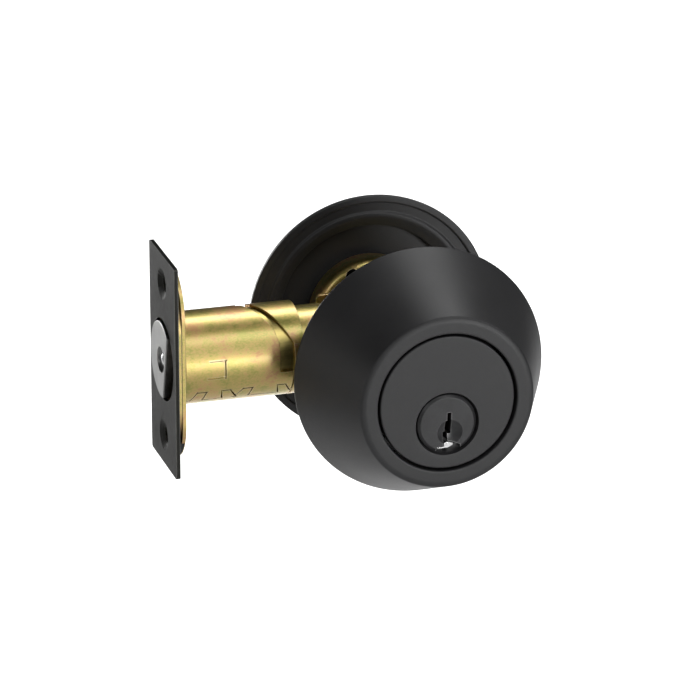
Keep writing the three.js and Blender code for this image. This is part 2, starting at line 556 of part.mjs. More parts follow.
piece("cylinder_housing", without(
  housing,
  rod("y", PLUG_R + RUNNING, CYLINDER_Y - 1, FLANGE_Y[1] + 1, PLUG, 40),
  rod("y", PLUG_FACE_R + 0.55, CYLINDER_Y - 1, CYLINDER_Y + PLUG_FACE_DEPTH + 0.3, PLUG, 40),
  ...pinYs.map((y) => rod("z", CHAMBER_R, CHAMBER_BOTTOM_Z, BIBLE_TOP_Z + 1, [0, y, 0], 16)),
  block(
    [-coverHalf - SEATED, coverY[0] - SEATED, coverZ - SEATED],
    [coverHalf + SEATED, coverY[1] + SEATED, BIBLE_TOP_Z + 1],
  ),
  ...screwPlaces.map((at) => rod("y", SCREW_R + RUNNING, FLANGE_Y[0] - 1, POST_END_Y + 1, at, 24)),
), matteBlack);
const cover = block([-coverHalf, coverY[0], coverZ], [coverHalf, coverY[1], BIBLE_TOP_Z]);
piece("pin_chamber_cover", cover, brass);

// ---- Exterior: key plug, its clip and the tailpiece ---------------------------------------------
const PLUG_Y = CYLINDER_Y + 0.15;
const PLUG_END_Y = FLANGE_Y[1] + 0.4;
const NECK_R = 4.6;
const NECK_END_Y = PLUG_END_Y + 2.6;
const KEYWAY_END_Y = PLUG_END_Y - 2;
const keyway = [
  block([-0.55, PLUG_Y - 1, PLUG_Z - 1], [0.55, KEYWAY_END_Y, KEYWAY_TOP_Z]),
  block([-0.2, PLUG_Y - 1, PLUG_Z - 3.2], [1.1, KEYWAY_END_Y, PLUG_Z - 0.4]),
  block([-1.1, PLUG_Y - 1, PLUG_Z - 5.3], [0.5, KEYWAY_END_Y, PLUG_Z - 2.6]),
];
const dimple = turned("y", [[0, PLUG_Y - 1], [4.6, PLUG_Y - 1], [1.6, PLUG_Y + 1.2], [0, PLUG_Y + 1.2]],
  [0.4, 0, PLUG_Z - 2.2], 24);
piece("key_plug", without(
  turned("y", [
    [0, PLUG_Y],
    [PLUG_FACE_R - 0.3, PLUG_Y],
    [PLUG_FACE_R, PLUG_Y + 0.3],
    [PLUG_FACE_R, PLUG_Y + PLUG_FACE_DEPTH],
    [PLUG_R, PLUG_Y + PLUG_FACE_DEPTH],
    [PLUG_R, PLUG_END_Y],
    [NECK_R, PLUG_END_Y],
    [NECK_R, NECK_END_Y],
    [0, NECK_END_Y],
  ], PLUG, 40),
  dimple,
  ...keyway,
  ...pinYs.map((y) => rod("z", CHAMBER_R, CHAMBER_BOTTOM_Z, PLUG_Z + 10, [0, y, 0], 16)),
  driveSlot.intersect(block([-5, PLUG_END_Y, -20], [5, 20, 20])),
  block(
    [-TAILPIECE_HALF.x - SLOT, PLUG_END_Y - 0.8, PLUG_Z - TAILPIECE_HALF.z - SLOT],
    [TAILPIECE_HALF.x + SLOT, NECK_END_Y + 1, PLUG_Z + TAILPIECE_HALF.z + SLOT],
  ),
), matteBlack);
const clipY = [PLUG_END_Y + 0.3, PLUG_END_Y + 1.3];
piece("plug_retainer_clip", pipe("y", NECK_R + SEATED, NECK_R + 2.6, ...clipY, PLUG, 32), steel);

const SPINDLE_START_Y = JOURNAL_HALF + 1.2;
const TAILPIECE_END_Y = SPINDLE_START_Y + 6;
piece("tailpiece", block(
  [-TAILPIECE_HALF.x, PLUG_END_Y - 0.5, PLUG_Z - TAILPIECE_HALF.z],
  [TAILPIECE_HALF.x, TAILPIECE_END_Y, PLUG_Z + TAILPIECE_HALF.z],
), steel);

// ---- Exterior: pin stacks at the shear line -----------------------------------------------------
const shearInside = Math.sqrt(PLUG_R ** 2 - PIN_R ** 2) - 0.05;
const shearOutside = PLUG_R + RUNNING + 0.05;
const DRIVER_LENGTH = 5;
const SPRING_TURNS = 5;
const SPRING_WIRE_R = 0.2;
pinYs.forEach((y, i) => {
  const tip = KEYWAY_TOP_Z - KEY_CUTS[i];
  const top = PLUG_Z + shearInside;
  const driverBottom = PLUG_Z + shearOutside;
  const driverTop = driverBottom + DRIVER_LENGTH;
  const at = [0, y, 0];
  const keyPin = [[0, tip], [0.5, tip], [PIN_R, tip + 1], [PIN_R, top], [0, top]];
  piece(`key_pin_${i + 1}`, turned("z", keyPin, at, 12), brass);
  piece(`driver_pin_${i + 1}`, rod("z", PIN_R, driverBottom, driverTop, at, 12), steel);
  const low = driverTop + SPRING_WIRE_R + 0.1;
  const high = coverZ - SPRING_WIRE_R - 0.15;
  const coil = [];
  for (let step = 0; step <= SPRING_TURNS * 8; step++) {
    const turn = (step * Math.PI) / 4;
    const radius = PIN_R - SPRING_WIRE_R - 0.05;
    const height = low + ((high - low) * step) / (SPRING_TURNS * 8);
    coil.push(new THREE.Vector3(radius * Math.cos(turn), y + radius * Math.sin(turn), height));
  }
  const wire = new THREE.Shape().absarc(0, 0, SPRING_WIRE_R, 0, 2 * Math.PI);
  const extrudePath = new THREE.CatmullRomCurve3(coil);
  const settings = { steps: SPRING_TURNS * 8, extrudePath, curveSegments: 2, bevelEnabled: false };
  piece(`pin_spring_${i + 1}`, solid(new THREE.ExtrudeGeometry(wire, settings)), steel);
});

// ---- Interior: mounting plate, rose, thumbturn --------------------------------------------------
const BOSS_Y = INTERIOR_Y - 2.7;
const EAR_Y = [INTERIOR_Y + 2.4, INTERIOR_Y + 3.6];
const ROSE_FACE_Y = INTERIOR_Y + ROSE_DEPTH;
const ROSE_FLOOR_Y = ROSE_FACE_Y - 1.6;
const SPINDLE_BORE_R = SPINDLE_R + RUNNING;
const spindleBore = rod("y", SPINDLE_BORE_R, 0, 60, PLUG);
const screwClearance = screwPlaces.map((at) => rod("y", SCREW_R + 0.3, 0, 60, at, 24));
const ears = block([-30, EAR_Y[0], PLUG_Z - 4.5], [30, EAR_Y[1], PLUG_Z + 4.5])
  .intersect(rod("y", SCREW_X + 3.6, EAR_Y[0] - 1, EAR_Y[1] + 1, [0, 0, 0], SIDES));
const boss = turned("y", [
  [0, BOSS_Y],
  [MOUNT_BOSS_R - 0.6, BOSS_Y],
  [MOUNT_BOSS_R, BOSS_Y + 0.6],
  [MOUNT_BOSS_R, EAR_Y[1]],
  [MOUNT_BOSS_R - 1.2, EAR_Y[1]],
  [MOUNT_BOSS_R - 1.2, BOSS_Y + 1.2],
  [0, BOSS_Y + 1.2],
]);
const bossSpace = rod("y", MOUNT_BOSS_R - 0.6, EAR_Y[0] - 1, EAR_Y[1] + 1, [0, 0, 0], SIDES);
const earsOutside = ears.subtract(bossSpace);
piece("mounting_plate", without(joined(boss, earsOutside), spindleBore, ...screwClearance), zincYellow);

const rose = turned("y", [
  [0, ROSE_FACE_Y],
  [ROSE_R - 8.6, ROSE_FACE_Y],
  [ROSE_R - 7, ROSE_FACE_Y - 0.8],
  [ROSE_R - 0.7, INTERIOR_Y + 2.8],
  [ROSE_R, INTERIOR_Y + 1.2],
  [ROSE_R, INTERIOR_Y],
  [ROSE_R - 2.2, INTERIOR_Y],
  [ROSE_R - 2.5, INTERIOR_Y + 0.7],
  [ROSE_R - 4.9, INTERIOR_Y + 0.7],
  [ROSE_R - 5.4, INTERIOR_Y + 0.4],
  [ROSE_R - 5.9, INTERIOR_Y + 0.7],
  [ROSE_R - 9.1, INTERIOR_Y + 2.1],
  [ROSE_R - 10, ROSE_FLOOR_Y],
  [0, ROSE_FLOOR_Y],
], [0, 0, 0], 56);
piece("interior_rose", without(rose, spindleBore, ...screwClearance), matteBlack);

const HEAD_Y = ROSE_FACE_Y + STACKED;
screwPlaces.forEach((at, i) => {
  const drive = [
    block([at[0] - 2.2, HEAD_Y + 1, PLUG_Z - 0.4], [at[0] + 2.2, HEAD_Y + 3, PLUG_Z + 0.4]),
    block([at[0] - 0.4, HEAD_Y + 1, PLUG_Z - 2.2], [at[0] + 0.4, HEAD_Y + 3, PLUG_Z + 2.2]),
  ];
  const rounded = [[SCREW_HEAD_R, HEAD_Y + 0.8], [SCREW_HEAD_R - 1.2, HEAD_Y + 2]];
  const head = turned("y", [[0, HEAD_Y], [SCREW_HEAD_R, HEAD_Y], ...rounded, [0, HEAD_Y + 2]], at, 24);
  const shank = rod("y", SCREW_R, FLANGE_Y[0] + 1, HEAD_Y + 0.5, at, 20);
  piece(`mounting_screw_${i + 1}`, without(joined(shank, head), ...drive), matteBlack);
});

const WASHER_Y = [ROSE_FACE_Y + STACKED, ROSE_FACE_Y + 0.5];
const TURN_Y = WASHER_Y[1] + 0.1;
const SPINDLE_END_Y = TURN_Y + 5;
piece("spindle_washer", pipe("y", SPINDLE_BORE_R, 9, ...WASHER_Y, PLUG, 32), nylon);
const clipRadii = [SPINDLE_R + SEATED, SPINDLE_R + 2.4];
piece("spindle_clip", pipe("y", ...clipRadii, ROSE_FLOOR_Y - 0.9, ROSE_FLOOR_Y - 0.1, PLUG, 32), steel);
const spindleSlot = block(
  [-TAILPIECE_HALF.x - SLOT, SPINDLE_START_Y - 1, PLUG_Z - TAILPIECE_HALF.z - SLOT],
  [TAILPIECE_HALF.x + SLOT, TAILPIECE_END_Y + 1, PLUG_Z + TAILPIECE_HALF.z + SLOT],
);
const spindle = rod("y", SPINDLE_R, SPINDLE_START_Y, SPINDLE_END_Y, PLUG);
piece("thumbturn_spindle", without(spindle, spindleSlot), steel);

const blade = new THREE.Shape();
const bladeTop = TURN_Y + TURN_PROJECTION;
blade.moveTo(TURN_Y + 3, PLUG_Z + 8);
blade.quadraticCurveTo(TURN_Y + 5, PLUG_Z + TURN_HALF_SPAN, bladeTop - 5, PLUG_Z + TURN_HALF_SPAN);
blade.absarc(bladeTop - 5, PLUG_Z + TURN_HALF_SPAN - 5, 5, Math.PI / 2, 0, true);
blade.absarc(bladeTop - 5, PLUG_Z - TURN_HALF_SPAN + 5, 5, 0, -Math.PI / 2, true);
blade.quadraticCurveTo(TURN_Y + 5, PLUG_Z - TURN_HALF_SPAN, TURN_Y + 3, PLUG_Z - 8);
const knob = joined(
  turned("y", [
    [0, TURN_Y],
    [TURN_BASE_R, TURN_Y],
    [TURN_BASE_R, TURN_Y + 1.2],
    [TURN_BASE_R - 1.9, TURN_Y + 4.5],
    [0, TURN_Y + 9.5],
  ], PLUG, 40),
  plate("x", blade, -TURN_BLADE_HALF, TURN_BLADE_HALF),
);
const knobBore = rod("y", SPINDLE_R + SEATED, TURN_Y - 1, SPINDLE_END_Y + 0.3, PLUG);
piece("thumbturn", without(knob, knobBore), matteBlack);

export default group;
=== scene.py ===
import json
import math

import bmesh
import bpy
from mathutils import Matrix, Vector


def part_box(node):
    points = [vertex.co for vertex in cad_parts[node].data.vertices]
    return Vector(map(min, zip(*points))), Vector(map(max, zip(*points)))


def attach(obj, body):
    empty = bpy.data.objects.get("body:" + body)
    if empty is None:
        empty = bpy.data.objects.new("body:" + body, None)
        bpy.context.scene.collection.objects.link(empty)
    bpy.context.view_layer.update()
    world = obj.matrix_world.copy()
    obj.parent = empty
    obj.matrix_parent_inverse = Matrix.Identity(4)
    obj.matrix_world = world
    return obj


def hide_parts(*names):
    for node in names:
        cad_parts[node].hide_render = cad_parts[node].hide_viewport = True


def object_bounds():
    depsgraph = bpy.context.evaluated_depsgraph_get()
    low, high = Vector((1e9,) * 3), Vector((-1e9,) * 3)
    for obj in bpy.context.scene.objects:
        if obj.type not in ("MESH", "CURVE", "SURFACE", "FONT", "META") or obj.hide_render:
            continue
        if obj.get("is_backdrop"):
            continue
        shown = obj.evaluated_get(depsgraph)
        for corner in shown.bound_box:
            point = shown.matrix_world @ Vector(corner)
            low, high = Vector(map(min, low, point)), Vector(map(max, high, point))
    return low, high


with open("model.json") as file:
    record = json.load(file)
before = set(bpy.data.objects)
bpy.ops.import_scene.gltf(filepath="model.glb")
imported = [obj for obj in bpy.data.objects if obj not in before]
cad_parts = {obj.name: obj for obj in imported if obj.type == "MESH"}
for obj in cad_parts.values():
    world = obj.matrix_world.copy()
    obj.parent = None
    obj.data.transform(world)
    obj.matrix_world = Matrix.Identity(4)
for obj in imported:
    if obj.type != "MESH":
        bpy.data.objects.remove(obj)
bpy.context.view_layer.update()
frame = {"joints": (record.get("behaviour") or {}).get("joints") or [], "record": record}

# ---- Faceplate ----------------------------------------------------------------------------------
# Stamped steel plate let into the door's edge, in a dark satin plating, with a round opening for the
# bolt and two countersunk holes for wood screws. A flat outline is thickened, pierced and its edges broken.
MM = 0.001
body_of = {node: body for body, nodes in frame["record"]["behaviour"]["bodies"].items() for node in nodes}
joint_at = {joint["name"]: joint.get("pos_m") for joint in frame["joints"]}
latch_axis = Vector((0, 0, joint_at["backset_twist"][2]))
lock_axis = Vector((0, 0, 0))
ROUND = 144  # sections round a large turned or rolled piece


def raw_piece(name, vertices, faces):
    """A mesh piece with doubled points merged and its faces turned outwards."""
    mesh = bpy.data.meshes.new(name)
    mesh.from_pydata(vertices, [], faces)
    work = bmesh.new()
    work.from_mesh(mesh)
    bmesh.ops.remove_doubles(work, verts=work.verts, dist=1e-7)
    bmesh.ops.recalc_face_normals(work, faces=work.faces)
    work.to_mesh(mesh)
    work.free()
    piece = bpy.data.objects.new(name, mesh)
    bpy.context.scene.collection.objects.link(piece)
    return piece


def settled(piece):
    """Turns a piece's modifiers into plain mesh."""
    bpy.context.view_layer.update()
    graph = bpy.context.evaluated_depsgraph_get()
    made = bpy.data.meshes.new_from_object(
        piece.evaluated_get(graph), preserve_all_data_layers=True, depsgraph=graph)
    piece.modifiers.clear()
    piece.data = made
    return piece


def combined(piece, operation, others):
    """Cuts or joins other shapes with a piece and throws them away."""
    for other in others:
        step = piece.modifiers.new(operation.lower(), "BOOLEAN")
        step.object = other
        step.operation = operation
        step.solver = "EXACT"
    settled(piece)
    for other in others:
        bpy.data.objects.remove(other)
    return piece


def pierced(piece, *tools):
    """Cuts each tool's shape out of a piece."""
    return combined(piece, "DIFFERENCE", tools)


def welded(piece, *parts):
    """Joins overlapping parts to a piece as one body."""
    return combined(piece, "UNION", parts)


def edges_broken(piece, width, segments=2, angle=40):
    """Rounds every edge sharper than the angle."""
    bevel = piece.modifiers.new("edges", "BEVEL")
    bevel.width = width
    bevel.segments = segments
    bevel.limit_method = "ANGLE"
    bevel.angle_limit = math.radians(angle)
    bevel.harden_normals = True
    bevel.use_clamp_overlap = True
    return settled(piece)


def smoothed(piece, angle=32):
    """Smooth shading that leaves large flat faces flat and edges over the angle sharp."""
    piece.data.shade_smooth()
    piece.data.set_sharp_from_angle(angle=math.radians(angle))
    weighted = piece.modifiers.new("weighted", "WEIGHTED_NORMAL")
    weighted.mode = "FACE_AREA"
    weighted.weight = 100
    weighted.keep_sharp = True
    return settled(piece)


def sheet_between(name, axis, outline, low, high):
    """A flat outline across an axis, thickened. Across x the outline is (y, z); across y it is (x, z)."""
    def place(u, v, along):
        return (along, u, v) if axis == "x" else (u, along, v)

    count = len(outline)
    vertices = [place(u, v, low) for u, v in outline] + [place(u, v, high) for u, v in outline]
    sides = [(i, (i + 1) % count, count + (i + 1) % count, count + i) for i in range(count)]
    return raw_piece(name, vertices, [tuple(range(count)), tuple(range(count, 2 * count)), *sides])


def rectangle(u, v, width, height, radius, steps=10):
    """A rectangle's outline with round corners, as points."""
    points = []
    for turn, (su, sv) in enumerate([(1, 1), (-1, 1), (-1, -1), (1, -1)]):
        for step in range(steps + 1):
            angle = math.pi / 2 * (turn + step / steps)
            points.append((u + su * (width / 2 - radius) + radius * math.cos(angle),
                           v + sv * (height / 2 - radius) + radius * math.sin(angle)))
    return points


def softened(profile, arc_steps=5):
    """A profile of (radius, place[, fillet]) points with each fillet drawn as an arc between close points."""
    most = 0.42  # share of a side that one fillet may take
    guard = 1.12  # a point just past the arc keeps the flat beside it flat in the shading
    points = [Vector((p[0], p[1])) for p in profile]
    drawn = []
    for i, point in enumerate(profile):
        fillet = point[2] if len(point) > 2 else 0
        corner = points[i]
        if not fillet:
            drawn.append(corner)
            continue
        back = points[i - 1] - corner
        ahead = points[(i + 1) % len(points)] - corner
        reach = min(fillet, most * back.length, most * ahead.length)
        start = corner + back.normalized() * reach
        end = corner + ahead.normalized() * reach
        drawn.append(corner + back.normalized() * reach * guard)
        for step in range(arc_steps + 1):
            t = step / arc_steps
            drawn.append(start * (1 - t) ** 2 + corner * 2 * t * (1 - t) + end * t ** 2)
        drawn.append(corner + ahead.normalized() * reach * guard)
    return drawn


def turned(name, axis, profile, centre, sections=ROUND):
    """A solid of revolution. Profile points are (radius, place along the axis[, fillet])."""
    drawn = softened(profile)
    open_ended = profile[0][0] == 0 and profile[-1][0] == 0
    count = len(drawn)
    vertices = []
    for section in range(sections):
        angle = 2 * math.pi * section / sections
        c, s = math.cos(angle), math.sin(angle)
        for radius, along in drawn:
            offset = {"x": (along, -radius * s, radius * c), "y": (radius * s, along, radius * c),
                      "z": (radius * c, radius * s, along)}[axis]
            vertices.append(tuple(Vector(offset) + centre))
    faces = []
    for section in range(sections):
        here, there = section * count, (section + 1) % sections * count
        for i in range(count - 1 if open_ended else count):
            j = (i + 1) % count
            faces.append((here + i, here + j, there + j, there + i))
    return raw_piece(name, vertices, faces)


def rod(name, axis, radius, low, high, centre, edge=0.0, sections=ROUND):
    """A plain solid cylinder with both rims softened."""
    profile = [(0, low), (radius, low, edge), (radius, high, edge), (0, high)]
    return turned(name, axis, profile, centre, sections)


def tube(name, axis, bore, radius, low, high, centre, bore_edge=0.1 * MM, edge=0.15 * MM, sections=ROUND):
    """A plain ring or tube with its rims softened."""
    profile = [(bore, low, bore_edge), (radius, low, edge), (radius, high, edge), (bore, high, bore_edge)]
    return turned(name, axis, profile, centre, sections)


def drill(axis, radius, low, high, centre, sections=64):
    return rod("tool", axis, radius, low, high, centre, 0, sections)


def cutter(low, high):
    """A box-shaped tool between two corners."""
    vertices = [(x, y, z) for x in (low[0], high[0]) for y in (low[1], high[1]) for z in (low[2], high[2])]
    faces = [(0, 1, 3, 2), (4, 6, 7, 5), (0, 4, 5, 1), (2, 3, 7, 6), (0, 2, 6, 4), (1, 5, 7, 3)]
    return raw_piece("tool", vertices, faces)


def fitted(piece, nodes, finish):
    """Gives a piece its finish and lets it stand for its CAD nodes."""
    nodes = [nodes] if isinstance(nodes, str) else nodes
    piece.data.materials.clear()
    piece.data.materials.append(finish)
    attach(piece, body_of[nodes[0]])
    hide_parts(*nodes)
    return piece


def new_group(name, inputs, outputs):
    """An empty shader group with float or colour sockets."""
    group = bpy.data.node_groups.new(name, "ShaderNodeTree")
    for socket, kind, value in inputs:
        made = group.interface.new_socket(name=socket, in_out="INPUT", socket_type=kind)
        made.default_value = value
    for socket, kind in outputs:
        group.interface.new_socket(name=socket, in_out="OUTPUT", socket_type=kind)
    return group, group.nodes.new("NodeGroupInput"), group.nodes.new("NodeGroupOutput")


def added(tree, kind, inputs=(), **settings):
    """A new node with its settings, each input given a value or the output to be linked to it."""
    node = tree.nodes.new(kind)
    for setting, value in settings.items():
        setattr(node, setting, value)
    for socket, value in dict(inputs).items():
        if isinstance(value, bpy.types.NodeSocket):
            tree.links.new(value, node.inputs[socket])
        else:
            node.inputs[socket].default_value = value
    return node


def maths(tree, operation, *values):
    return added(tree, "ShaderNodeMath", enumerate(values), operation=operation).outputs[0]


# Plating: broad cloudiness, fine grain, and a mask of raised edges, which the finishes use for a painted
# highlight along those edges.
plating_group, group_in, group_out = new_group(
    "Plating surface",
    [("Cloud scale", "NodeSocketFloat", 60.0), ("Grain scale", "NodeSocketFloat", 4000.0),
     ("Stretch", "NodeSocketVector", (1.0, 1.0, 1.0))],
    [("Cloud", "NodeSocketFloat"), ("Grain", "NodeSocketFloat"), ("Edge", "NodeSocketFloat")],
)
here = added(plating_group, "ShaderNodeTexCoord").outputs["Object"]
stretched = added(plating_group, "ShaderNodeVectorMath", {0: here, 1: group_in.outputs["Stretch"]},
                  operation="MULTIPLY")
cloud = added(plating_group, "ShaderNodeTexNoise", {
    "Scale": group_in.outputs["Cloud scale"], "Detail": 9, "Roughness": 0.62, "Vector": here})
grain = added(plating_group, "ShaderNodeTexNoise", {
    "Scale": group_in.outputs["Grain scale"], "Detail": 3, "Vector": stretched.outputs[0]})
inward = added(plating_group, "ShaderNodeAmbientOcclusion", {"Distance": 0.25 * MM},
               inside=True, only_local=True, samples=6)
edge = added(plating_group, "ShaderNodeMapRange", {
    "From Min": 0.95, "From Max": 0.45, "Value": inward.outputs["AO"]})
plating_group.links.new(cloud.outputs["Fac"], group_out.inputs["Cloud"])
plating_group.links.new(grain.outputs["Fac"], group_out.inputs["Grain"])
plating_group.links.new(edge.outputs["Result"], group_out.inputs["Edge"])
SPECKLE = 0.4  # how much the grain shifts the colour ramp
GRAIN_SHARE = 0.4  # of the roughness; the cloud has the rest


def coat(name, colours, roughness, metallic, grain_height, cloud_scale=60, grain_scale=4000,
         stretch=(1, 1, 1), edge_highlight_colour=None, edge_highlight_share=0.5, coat_weight=0.0, glancing=1.0):
    """A finish: a ramp of colours by cloud, roughness that varies with it, a bump from the grain, and a
    painted highlight along raised edges.
    """
    finish = bpy.data.materials.new(name)
    finish.use_nodes = True
    tree = finish.node_tree
    shader = tree.nodes["Principled BSDF"].inputs
    surface = added(tree, "ShaderNodeGroup", node_tree=plating_group)
    for socket, value in (("Cloud scale", cloud_scale), ("Grain scale", grain_scale), ("Stretch", stretch)):
        surface.inputs[socket].default_value = value
    cloud, grain, edge = (surface.outputs[mask] for mask in ("Cloud", "Grain", "Edge"))
    speckle = maths(tree, "MULTIPLY_ADD", grain, SPECKLE, -SPECKLE / 2)
    ramp = added(tree, "ShaderNodeValToRGB", {"Fac": maths(tree, "ADD", cloud, speckle)})
    while len(ramp.color_ramp.elements) < len(colours):
        ramp.color_ramp.elements.new(0.5)
    for element, (place, colour) in zip(ramp.color_ramp.elements, colours):
        element.position = place
        element.color = (*colour, 1)
    colour = ramp.outputs["Color"]
    # Painted highlight: raised edges found by the mask are mixed towards a lighter edge colour, standing in
    # for the light that edges catch.
    if edge_highlight_colour:
        edge_highlight = added(tree, "ShaderNodeMix", {
            "Factor": maths(tree, "MULTIPLY", edge, edge_highlight_share), "A": colour, "B": (*edge_highlight_colour, 1)},
            data_type="RGBA")
        colour = edge_highlight.outputs["Result"]
    tree.links.new(colour, shader["Base Color"])
    mottle = maths(tree, "MULTIPLY_ADD", grain, GRAIN_SHARE, maths(tree, "MULTIPLY", cloud, 1 - GRAIN_SHARE))
    spread = added(tree, "ShaderNodeMapRange", {
        "From Min": 0.3, "From Max": 0.7, "To Min": roughness[0], "To Max": roughness[1], "Value": mottle})
    tree.links.new(spread.outputs["Result"], shader["Roughness"])
    shader["Metallic"].default_value = metallic
    shader["Specular Tint"].default_value = (glancing, glancing, glancing, 1)
    shader["Coat Weight"].default_value = coat_weight
    shader["Coat Roughness"].default_value = 0.2
    bump = added(tree, "ShaderNodeBump", {"Strength": 1, "Distance": grain_height, "Height": grain})
    tree.links.new(bump.outputs["Normal"], shader["Normal"])
    return finish


dark_plating = coat(
    "Dark satin plating", [(0.3, (0.018, 0.018, 0.016)), (0.7, (0.031, 0.031, 0.0275))], (0.36, 0.5), 0.75,
    0.004 * MM, cloud_scale=90, grain_scale=2600, stretch=(1, 1, 0.25), edge_highlight_colour=(0.3, 0.3, 0.28),
    edge_highlight_share=0.6, glancing=0.5,
)

FACE_SCREW_SPACING = 41.28 * MM
COUNTERSINK_R = 4.25 * MM
COUNTERSINK_FLARE = 2.05 * MM  # how much wider the cone is one millimetre in front of the face
FACE_SCREW_R = 2.3 * MM
BOLT_OPENING_R = 10.9 * MM
PRESSED_DEPTH = 0.7 * MM  # behind the stamping only the lips pressed round the screw holes reach further
LIP_WALL = 0.4 * MM
face_low, face_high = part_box("faceplate")
face_back_x = face_high.x - PRESSED_DEPTH
face_screws = [latch_axis + Vector((0, 0, side * FACE_SCREW_SPACING / 2)) for side in (-1, 1)]
face_outline = rectangle(0, latch_axis.z, face_high.y - face_low.y, face_high.z - face_low.z, 0.8 * MM)
faceplate = sheet_between("faceplate_stamping", "x", face_outline, face_low.x, face_back_x)
welded(faceplate, *[
    drill("x", FACE_SCREW_R + LIP_WALL, face_back_x - 0.3 * MM, face_high.x, at) for at in face_screws])
countersinks = [
    turned("tool", "x", [
        (0, face_low.x - MM), (COUNTERSINK_R + COUNTERSINK_FLARE, face_low.x - MM),
        (FACE_SCREW_R, face_back_x - 0.15 * MM), (FACE_SCREW_R, face_high.x + MM), (0, face_high.x + MM),
    ], at, 64)
    for at in face_screws
]
bolt_opening = drill("x", BOLT_OPENING_R, face_low.x - MM, face_high.x + MM, latch_axis, ROUND)
pierced(faceplate, bolt_opening, *countersinks)
fitted(smoothed(edges_broken(faceplate, 0.14 * MM)), "faceplate", dark_plating)

# ---- Liner and backing plate --------------------------------------------------------------------
# Two yellow-zinc steel stampings with round ends that carry the faceplate. The front one stops short at the
# bottom, where the rear one is notched; a black filler between its thin rim and the faceplate is a painted
# shadow, a dark piece standing in for the shade in that gap.
yellow_zinc = coat(
    "Yellow zinc plating",
    [(0.36, (0.40, 0.37, 0.10)), (0.47, (0.55, 0.44, 0.14)), (0.55, (0.63, 0.46, 0.17)),
     (0.64, (0.60, 0.35, 0.16))],
    (0.3, 0.48), 1.0, 0.003 * MM, cloud_scale=130, grain_scale=2400, stretch=(0.6, 1, 1),
    edge_highlight_colour=(0.95, 0.86, 0.6), edge_highlight_share=0.55, coat_weight=0.6,
)
LIP_CLEARANCE = 0.2 * MM
FAR = 1.0  # metres, beyond every piece
FILLER_INSET = 0.15 * MM
RIM = 0.25 * MM  # thickness left behind the backing plate's notch
filler_low, filler_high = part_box("face_filler")
NOTCH_TOP = filler_high.z


def round_ended(low, high, shrink=0.0):
    """The outline of a plate whose two ends are nearly half round."""
    width = high.y - low.y - 2 * shrink
    return rectangle(0, latch_axis.z, width, high.z - low.z - 2 * shrink, width / 2 - 0.05 * MM, 24)


def lip_hole(low_x, high_x, at):
    return drill("x", FACE_SCREW_R + LIP_WALL + LIP_CLEARANCE, low_x - MM, high_x + MM, at, 48)


def carrier_plate(name, node, notch_back):
    """A round-ended plate with the bolt's opening and lip holes, notched below from the front."""
    low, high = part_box(node)
    plate = sheet_between(name, "x", round_ended(low, high), low.x, high.x)
    pierced(plate, drill("x", BOLT_OPENING_R, low.x - MM, high.x + MM, latch_axis, ROUND),
            *[lip_hole(low.x, high.x, at) for at in face_screws],
            cutter((low.x - MM, -FAR, -FAR), (high.x + notch_back, FAR, NOTCH_TOP)))
    return fitted(smoothed(edges_broken(plate, 0.1 * MM)), node, yellow_zinc)


carrier_plate("liner_stamping", "faceplate_liner", MM)
carrier_plate("backing_stamping", "backing_plate", -RIM)

black_nylon = coat("Black nylon", [(0.35, (0.012, 0.012, 0.013)), (0.65, (0.02, 0.02, 0.022))], (0.5, 0.62),
                   0, 0.006 * MM, cloud_scale=300, grain_scale=5000)
# Painted shadow: this black piece fills the notch so that the gap behind the faceplate reads dark.
filler_outline = round_ended(*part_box("backing_plate"), FILLER_INSET)
filler = sheet_between("gap_shade_moulding", "x", filler_outline, filler_low.x, filler_high.x)
pierced(filler, cutter((filler_low.x - MM, -FAR, NOTCH_TOP), (filler_high.x + MM, FAR, FAR)),
        lip_hole(filler_low.x, filler_high.x, face_screws[0]))
fitted(smoothed(filler), "face_filler", black_nylon)

# ---- Front sleeve -------------------------------------------------------------------------------
# Steel strip rolled to a tube, its edges locked by a dovetailed seam low on the exterior side, with a square
# lanced tab. Its rear edge follows a ramp, then steps back to a notch and forward to a tongue.
SLEEVE_R = 12.07 * MM
SLEEVE_WALL = 0.7 * MM
RAMP = (-9.0, 65.0)  # degrees from the top, round the exterior side
TONGUE = (101.0, 170.0)
RAMP_RISE = 8.3 * MM
EDGE_GAP = 2.5 * MM
TONGUE_GAP = 0.4 * MM
NOTCH_DEPTH = 3.8 * MM
SLICES = 240  # round a rolled tube
BESIDE_STEP = (-0.25, -0.02, 0.02, 0.25)  # degrees: extra slices where an edge steps
CLEAR_OF_STEP = 0.6
sleeve_low, sleeve_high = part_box("front_sleeve")
REAR_EDGE_X = sleeve_high.x + TONGUE_GAP
NOTCH_X = REAR_EDGE_X - NOTCH_DEPTH
BACKSET_TRAVEL = next(joint for joint in frame["joints"] if joint["name"] == "backset_slide")["range_m"][1]


def wrapped(angle):
    return (angle - RAMP[0]) % 360 + RAMP[0]


def rear_edge(angle):
    """The rear sleeve's front edge: a steep ramp, a square run, then a slow helix."""
    a = wrapped(angle)
    if a <= RAMP[1]:
        return REAR_EDGE_X - RAMP_RISE * (RAMP[1] - a) / (RAMP[1] - RAMP[0])
    if a <= TONGUE[1]:
        return REAR_EDGE_X
    return REAR_EDGE_X - BACKSET_TRAVEL * (a - TONGUE[1]) / 180


def front_edge(angle):
    """The front sleeve's rear edge: it follows at a gap, with a square notch and the tongue."""
    a = wrapped(angle)
    if TONGUE[0] < a < TONGUE[1]:
        return REAR_EDGE_X - TONGUE_GAP
    if RAMP[1] - 3 < a <= TONGUE[0]:
        return NOTCH_X
    return min(rear_edge(a) - EDGE_GAP, NOTCH_X - 0.05 * MM * max(0, RAMP[1] - a))


